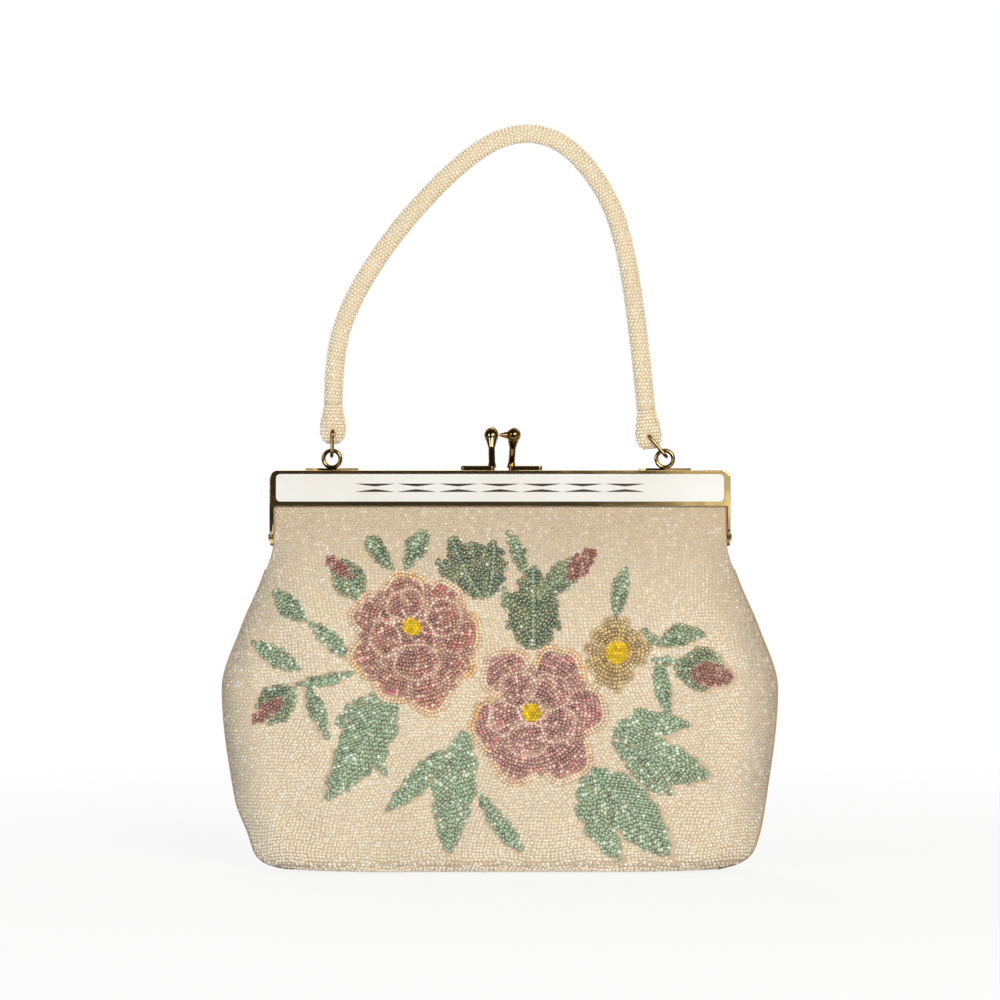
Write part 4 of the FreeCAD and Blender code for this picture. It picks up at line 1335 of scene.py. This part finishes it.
sprayPlan = {
    # offset from the heart, half size along it and across it, of each petal
    "roses": [
        {
            "heart": (-31.7, 88.9),
            "patch": (6.6, 5.6, -0.6),
            "inner": [
                ((11.6, 3.4), 6.6, 7.0), ((1.6, -12.6), 6.6, 8.4), ((-9.6, -4.6), 5.6, 6.8),
                ((-2.4, 8.0), 5.4, 7.0),
            ],
            "outer": [
                ((-2.8, 12.2), 7.4, 9.0), ((11.4, 9.0), 7.6, 8.2), ((16.8, -2.2), 8.4, 9.0),
                ((14.2, -13.0), 8.6, 8.8), ((6.6, -23.2), 8.6, 8.4), ((-6.0, -19.0), 8.8, 8.6),
                ((-14.4, -10.8), 8.2, 8.8), ((-14.0, 3.6), 8.4, 8.8),
            ],
            "hue": "mauve",
            "edgeHues": ["gold", "peach", "gold"],
        },
        {
            "heart": (11.2, 58.1),
            "patch": (6.8, 6.4, -0.5),
            "inner": [
                ((-5.0, 8.6), 6.2, 7.2), ((7.2, 7.4), 6.4, 7.0), ((9.6, -4.2), 6.4, 7.0),
                ((-1.2, -9.8), 6.4, 7.6), ((-9.4, -2.0), 6.0, 6.8),
            ],
            "outer": [
                ((-8.6, 14.0), 9.4, 9.8), ((9.4, 14.2), 9.6, 10.0), ((17.6, 0.8), 9.8, 10.2),
                ((11.8, -15.6), 10.2, 10.2), ((-4.8, -16.6), 9.6, 9.8), ((-13.4, -5.4), 8.8, 10.4),
            ],
            "hue": "orchid",
            "edgeHues": ["peach", "gold", "peach", "peach"],
        },
    ],
    "daisy": {
        "heart": (41.9, 79.5),
        "patch": (8.4, 7.4, -0.8),
        "reaches": (12.4, 10.4, 13.4, 11.6, 11.2, 12.2, 14.2, 8.8),
    },
    # calyx from, to and its width, then the petals from, to and their breadth
    "buds": [
        ((-49.6, 98.6), (-59.6, 112.6), 12.6, (-53.4, 106.4), (-62.6, 113.6), 5.4),
        ((-74.6, 66.8), (-88.8, 54.6), 13.4, (-79.6, 62.2), (-90.6, 54.2), 5.4),
        ((13.6, 99.4), (31.4, 114.2), 9.6, (24.4, 106.4), (33.8, 116.0), 7.4),
        ((63.2, 73.8), (83.4, 72.8), 16.0, (69.4, 72.6), (85.4, 70.0), 9.0),
    ],
    # from, to, width, bend, teeth, shade, and where along it the leaf is widest
    "leaves": [
        ((-38.2, 108.8), (-47.8, 121.6), 7.2, 0.6, 0, 0.2, 0.58),
        ((-34.2, 108.6), (-26.4, 123.0), 8.2, 0.6, 0, 0.1, 0.6),
        ((-6.0, 98.8), (-17.8, 121.2), 11.6, 1.0, 4, 0.45, 0.5),
        ((-4.6, 99.0), (-2.4, 120.0), 11.0, -1.0, 4, 0.45, 0.5),
        ((-6.6, 98.6), (-10.6, 119.6), 18.5, 0.0, 0, 0.45, 0.5),
        ((-7.0, 101.0), (-23.0, 112.4), 9.4, 0.0, 3, 0.45, 0.5),
        ((8.8, 107.4), (2.4, 123.6), 5.6, -0.8, 0, 0.1, 0.5),
        ((12.0, 80.6), (12.0, 111.0), 21.0, 0.0, 4, 0.4, 0.4),
        ((6.2, 91.4), (1.2, 103.6), 5.0, 0.4, 0, 0.2, 0.5),
        ((-69.4, 90.6), (-82.4, 102.2), 7.4, 0.8, 0, 0.1, 0.5),
        ((-54.2, 76.6), (-69.2, 90.4), 6.6, -0.6, 3, 0.0, 0.5),
        ((-72.2, 73.2), (-90.8, 83.6), 7.0, 0.8, 0, 0.0, 0.5),
        ((-52.6, 72.2), (-74.8, 68.0), 5.4, 0.8, 3, 0.0, 0.5),
        ((-70.4, 67.6), (-63.0, 48.2), 5.8, 0.4, 0, 0.05, 0.45),
        ((-39.6, 65.6), (-63.8, 26.2), 20.5, 1.6, 5, -0.1, 0.38),
        ((-39.0, 62.4), (-59.6, 53.6), 11.6, 0.0, 3, -0.1, 0.5),
        ((-47.6, 46.0), (-40.2, 34.6), 5.0, 0.0, 0, -0.1, 0.4),
        ((-12.4, 51.6), (-18.6, 6.6), 17.0, -1.2, 5, -0.1, 0.45),
        ((-20.4, 44.6), (-41.6, 22.0), 9.6, 1.2, 4, -0.1, 0.42),
        ((-7.6, 29.4), (8.6, 7.4), 7.4, -0.8, 3, -0.1, 0.5),
        ((40.4, 48.4), (69.2, 53.4), 13.4, 2.4, 3, -0.05, 0.36),
        ((39.8, 47.8), (77.4, 34.6), 17.0, -1.0, 5, -0.1, 0.46),
        ((42.0, 46.6), (63.2, 28.4), 11.6, 0.0, 3, -0.05, 0.5),
        ((31.4, 37.4), (62.8, 5.8), 20.5, 1.0, 5, -0.1, 0.46),
        ((29.6, 34.6), (44.6, 4.0), 13.0, -2.0, 4, -0.1, 0.42),
        ((41.8, 92.4), (45.4, 110.4), 6.4, 0.5, 0, 0.1, 0.5),
        ((56.8, 81.8), (74.0, 85.6), 7.4, 2.0, 0, 0.1, 0.5),
        ((57.4, 81.6), (51.6, 87.6), 3.4, 0.0, 0, 0.0, 0.5),
        ((54.8, 76.6), (67.0, 76.0), 3.6, 0.0, 0, 0.0, 0.5),
        ((61.6, 56.8), (57.0, 77.0), 6.8, 0.6, 3, 0.0, 0.5),
    ],
}


def spray():
    shapes = []
    for facts in sprayPlan["roses"]:
        shapes += rose(**facts)
    shapes += daisy(**sprayPlan["daisy"])
    for facts in sprayPlan["buds"]:
        shapes += bud(*facts)
    for facts in sprayPlan["leaves"]:
        shapes.append(leaf(*facts))
    return shapes


def keepVisible(shapes):
    # what lies under an earlier outline is left out, so no two beads share a place
    for index, item in enumerate(shapes):
        clear = np.ones(len(item["spots"]), bool)
        for earlier in shapes[:index]:
            if earlier is item.get("under") or not len(item["spots"]):
                continue
            clear &= signedGap(item["spots"], earlier["outline"]) > threads["underGap"]
        for key in ("spots", "turns", "tints"):
            item[key] = item[key][clear]
    return shapes


bareSpot = {"step": 0.45, "inside": 0.35, "widest": 1.12, "margin": 2}


def fillBareSpots(shapes):
    # a bead goes wherever the rows of two motifs leave the cloth bare between them
    taken = np.concatenate([item["spots"] for item in shapes])
    for item in shapes:
        low, high = item["outline"].min(0), item["outline"].max(0)
        xs, zs = np.meshgrid(*[np.arange(low[k], high[k], bareSpot["step"]) for k in (0, 1)])
        trial = np.stack([xs.ravel(), zs.ravel()], 1)
        trial = trial[signedGap(trial, item["outline"]) < -bareSpot["inside"]]
        about = (taken > low - bareSpot["margin"]) & (taken < high + bareSpot["margin"])
        near = taken[np.all(about, axis=1)]
        for spot in trial:
            if not len(item["spots"]) or np.linalg.norm(near - spot, axis=1).min() < bareSpot["widest"]:
                continue
            like = np.argmin(np.linalg.norm(item["spots"] - spot, axis=1))
            more = {"spots": spot, "turns": item["turns"][like], "tints": item["tints"][like]}
            for key, value in more.items():
                item[key] = np.concatenate([item[key], [value]])
            near = np.vstack([near, spot])
            taken = np.vstack([taken, spot])
    return shapes


sprayShapes = fillBareSpots(keepVisible(spray()))
print("flower spray laid out with", sum(len(item["spots"]) for item in sprayShapes), "beads")


# bead rows over the rest of both panels

fieldRows = {
    "pitch": 1.38,
    "rowStep": 1.19,
    "topHeight": 131.2,
    "wander": 0.7,
    "settleDepth": 14.0,   # below the frame the rows start straight
    "shiver": 0.13,
    "sideGap": 0.5,
    "clearOfSpray": 0.25,
    "frameShadeFrom": 126.0,     # painted shade: the beads darken towards the frame
    "frameShadeFade": 36.0,
    "seamReach": 16.0,     # and painted shade along the side seams
    "seamShadeDepth": 0.64,
    "footFade": 34.0,      # but less so down at the foot
    "firstBead": 0.25,
    "lastRow": 1.2,
    # two waves each way: along, bend, bent by, then along, aside and phase of the lesser
    "riseWaves": (0.11, 0.8, 0.07, 0.23, 0.12, 1.3),
    "slideWaves": (0.14, 0.7, 0.06, -0.21, 0.17, 0.4),
    "lesserWave": 0.6,
    "tintSpread": 0.08,
    "glints": 0.12,
    "glintWhite": 0.3,
    "turnStray": 0.25,
    "sprayReach": 2.0,     # only beads this far out from the middle can lie under the spray
    "sprayTint": (-0.16, 0.16),
    "frontSeed": 100,
    "backSeed": 200,
    "edgeSeed": 20,
    "spraySeed": 30,
}
edgeRow = {"height": 3.2, "clear": 0.7, "sideGap": 1.0, "pitch": 1.72, "tintSpread": 0.1, "glints": 0.2}


def drift(a, b, waves):
    along, bend, bentBy, lesserAlong, lesserAside, phase = waves
    lesser = np.sin(a * lesserAlong + b * lesserAside + phase)
    return np.sin(a * along + bend * np.sin(b * bentBy)) + fieldRows["lesserWave"] * lesser


def fieldSpots(shell):
    step = shell.rowGap
    first = shell.rowAt(fieldRows["topHeight"])
    last = len(shell.rowZ) - fieldRows["lastRow"]
    rows, acrosses = [], []
    for index, row in enumerate(np.arange(first, last, fieldRows["rowStep"] / step)):
        half = shell.halfAt(row) - fieldRows["sideGap"]
        count = int(2 * half / fieldRows["pitch"])
        rows.append(np.full(count, row))
        begin = fieldRows["firstBead"] + 0.5 * (index % 2)
        acrosses.append((np.arange(count) + begin) * fieldRows["pitch"] - half)
    row, u = np.concatenate(rows), np.concatenate(acrosses)
    v = row * step
    wander = fieldRows["wander"] * np.clip((row - first) * step / fieldRows["settleDepth"], 0, 1)
    rise, slide = drift(u, v, fieldRows["riseWaves"]), drift(v, u, fieldRows["slideWaves"])
    row = row + (wander * rise + dice.normal(0, fieldRows["shiver"], len(u))) / step
    u = u + wander * slide + dice.normal(0, fieldRows["shiver"], len(u))
    keep = (np.abs(u) < shell.halfAt(row) - fieldRows["sideGap"]) & (row < last)
    return row[keep], u[keep]


def placeBeads(name, shell, strand, sizeName, finish, seed):
    row, column, turn, tint = strand
    size = np.tile(beadSizes[sizeName], (len(row), 1))
    out = shell.sample(shell.out, row, column)
    out /= np.linalg.norm(out, axis=1)[:, None]
    across = shell.sample(shell.across, row, column)
    up = shell.sample(shell.up, row, column)
    along = across * np.cos(turn)[:, None] + up * np.sin(turn)[:, None]
    along -= out * (along * out).sum(1)[:, None]
    along /= np.linalg.norm(along, axis=1)[:, None]
    rise = beadForm["rise"] if sizeName in ("field", "edge") else beadForm["sprayRise"]
    place = shell.sample(shell.place, row, column) + out * size[:, 2:3] * rise
    return stringBeads(name, finish, place, out, along, size, tint, seed)


def splitBeads(name, shell, strand, sizeName, finish, seed):
    order = np.argsort(strand[0], kind="stable")
    parts = math.ceil(len(order) / beadForm["mostPerPiece"])
    pieces = []
    for index, chosen in enumerate(np.array_split(order, parts)):
        label = name + (str(index + 1) if parts > 1 else "")
        part = [values[chosen] for values in strand]
        pieces.append(placeBeads(label, shell, part, sizeName, finish, seed + index))
    return pieces


def fieldStrand(shell, shapes):
    row, u = fieldSpots(shell)
    column = shell.columnAt(row, u)
    place = shell.sample(shell.place, row, column)
    keep = np.abs(row - shell.rowAt(edgeRow["height"])) * shell.rowGap > edgeRow["clear"]
    for item in shapes:
        near = keep & (shell.side * place[:, 1] > fieldRows["sprayReach"])
        keep[near] &= signedGap(place[near][:, [0, 2]], item["outline"]) > fieldRows["clearOfSpray"]
    row, column, height = row[keep], column[keep], place[keep, 2]
    # painted shade: darker towards the frame and along the side seams, paler lower down
    paler = np.clip((fieldRows["frameShadeFrom"] - height) / fieldRows["frameShadeFade"], 0, 1)
    fromSeam = (1 - np.abs(column / (pouch["columns"] - 1) * 2 - 1)) * shell.halfAt(row)
    dull = fieldRows["seamShadeDepth"] * np.clip(1 - fromSeam / fieldRows["seamReach"], 0, 1) * paler
    dull *= np.clip(height / fieldRows["footFade"], 0, 1)
    base = mixHue(hues["field"], hues["fieldLow"], paler) * (1 - dull)[:, None]
    tint = beadTints(base, len(row), fieldRows["tintSpread"], fieldRows["glints"], fieldRows["glintWhite"])
    return row, column, dice.normal(0, fieldRows["turnStray"], len(row)), tint


def edgeStrand(shell):
    at = shell.rowAt(edgeRow["height"])
    half = shell.halfAt(at) - edgeRow["sideGap"]
    count = int(2 * half / edgeRow["pitch"])
    row = np.full(count, at)
    column = shell.columnAt(row, (np.arange(count) + 0.5) / count * 2 * half - half)
    tint = beadTints(hues["field"], count, edgeRow["tintSpread"], edgeRow["glints"])
    return row, column, np.zeros(count), tint


def sprayStrand(shell, chosen):
    keys = ("spots", "turns", "tints")
    spots, turns, tints = (np.concatenate([item[key] for item in chosen]) for key in keys)
    tints = tints * (1 + dice.uniform(*fieldRows["sprayTint"], len(tints)))[:, None]
    return *shell.locate(spots[:, 0], spots[:, 1]), turns, np.clip(tints, 0, beadForm["palest"])


finishes = {"flower": flowerBead, "leaf": leafBead, "heart": heartBead}


def panelBeads(name, shell, shapes, seed):
    pieces = splitBeads(name + "Field", shell, fieldStrand(shell, shapes), "field", fieldBead, seed)
    pieces.append(placeBeads(name + "EdgeBeads", shell, edgeStrand(shell), "edge", fieldBead,
                             seed + fieldRows["edgeSeed"]))
    for finish, size in sorted({(item["finish"], item["size"]) for item in shapes}):
        alike = [item for item in shapes if (item["finish"], item["size"]) == (finish, size)]
        chosen = [item for item in alike if len(item["spots"])]
        label = name + size.capitalize() + "Beads"
        pieces += splitBeads(label, shell, sprayStrand(shell, chosen), size, finishes[finish],
                             seed + fieldRows["spraySeed"])
    return pieces


frontBeads = panelBeads("front", frontShell, sprayShapes, fieldRows["frontSeed"])
backBeads = panelBeads("back", backShell, [], fieldRows["backSeed"])
print("bead pieces", len(frontBeads) + len(backBeads))


def joinToFrame(piece):
    # a piece that reaches into the mouth keeps its place baked in, and the rest goes with the pouch
    top = max(v.co.z for v in piece.data.vertices) / mm
    if top > pouch["blendStart"]:
        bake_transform(piece)
    else:
        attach(piece, "pouch")


for half, cloth, liningPiece, beads in (("front_half", frontCloth, frontLining, frontBeads),
                                        ("back_half", backCloth, backLining, backBeads)):
    for piece in [cloth, liningPiece] + beads:
        joinToFrame(piece)
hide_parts("front_panel", "front_band")
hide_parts("back_panel", "back_band")
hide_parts("lining")


# seam down both sides and along the bottom

seam = {"radius": 0.45, "topHeight": 110.0, "count": 150, "sides": 2}


def seamPiece():
    facing = frontShell.rowZ < seam["topHeight"]
    left = frontShell.place[facing, 0] * (1, 0, 1)
    right = frontShell.place[facing, -1] * (1, 0, 1)
    path = np.vstack([left, frontShell.place[-1, 1:-1] * (1, 0, 1), right[::-1]])
    steps = runLengths(path)
    even = np.linspace(0, steps[-1], seam["count"])
    places = np.stack([np.interp(even, steps, path[:, k]) for k in range(3)], 1)
    curve = cordCurve("seamCord", "POLY", places, seam["radius"], seam["sides"])
    curve.data.materials.append(seamThread)
    mesh = plainMesh(curve)
    bpy.data.objects.remove(curve)
    return newObject("seamCord", mesh)


seamCord = seamPiece()
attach(seamCord, "pouch")


# finishes of the pieces that stay as the frame has them

nodeFinish = [
    (giltMetal, ["frame"]),
    (darkReflectionMetal, ["rivet", "clasp", "eye", "link"]),
    (whiteEnamel, ["inlay"]),
    (engravedMetal, ["marks"]),
    (fillerTwine, ["filler"]),
]
for nodeLook, words in nodeFinish:
    for name in [name for name in nodes if any(word in name.split("_") for word in words)]:
        mesh = nodes[name].data
        mesh.materials.clear()
        mesh.materials.append(nodeLook)

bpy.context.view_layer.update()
triangles = sum(sum(len(p.vertices) - 2 for p in o.data.polygons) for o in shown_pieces() if o.type == "MESH")
print("triangles", triangles)
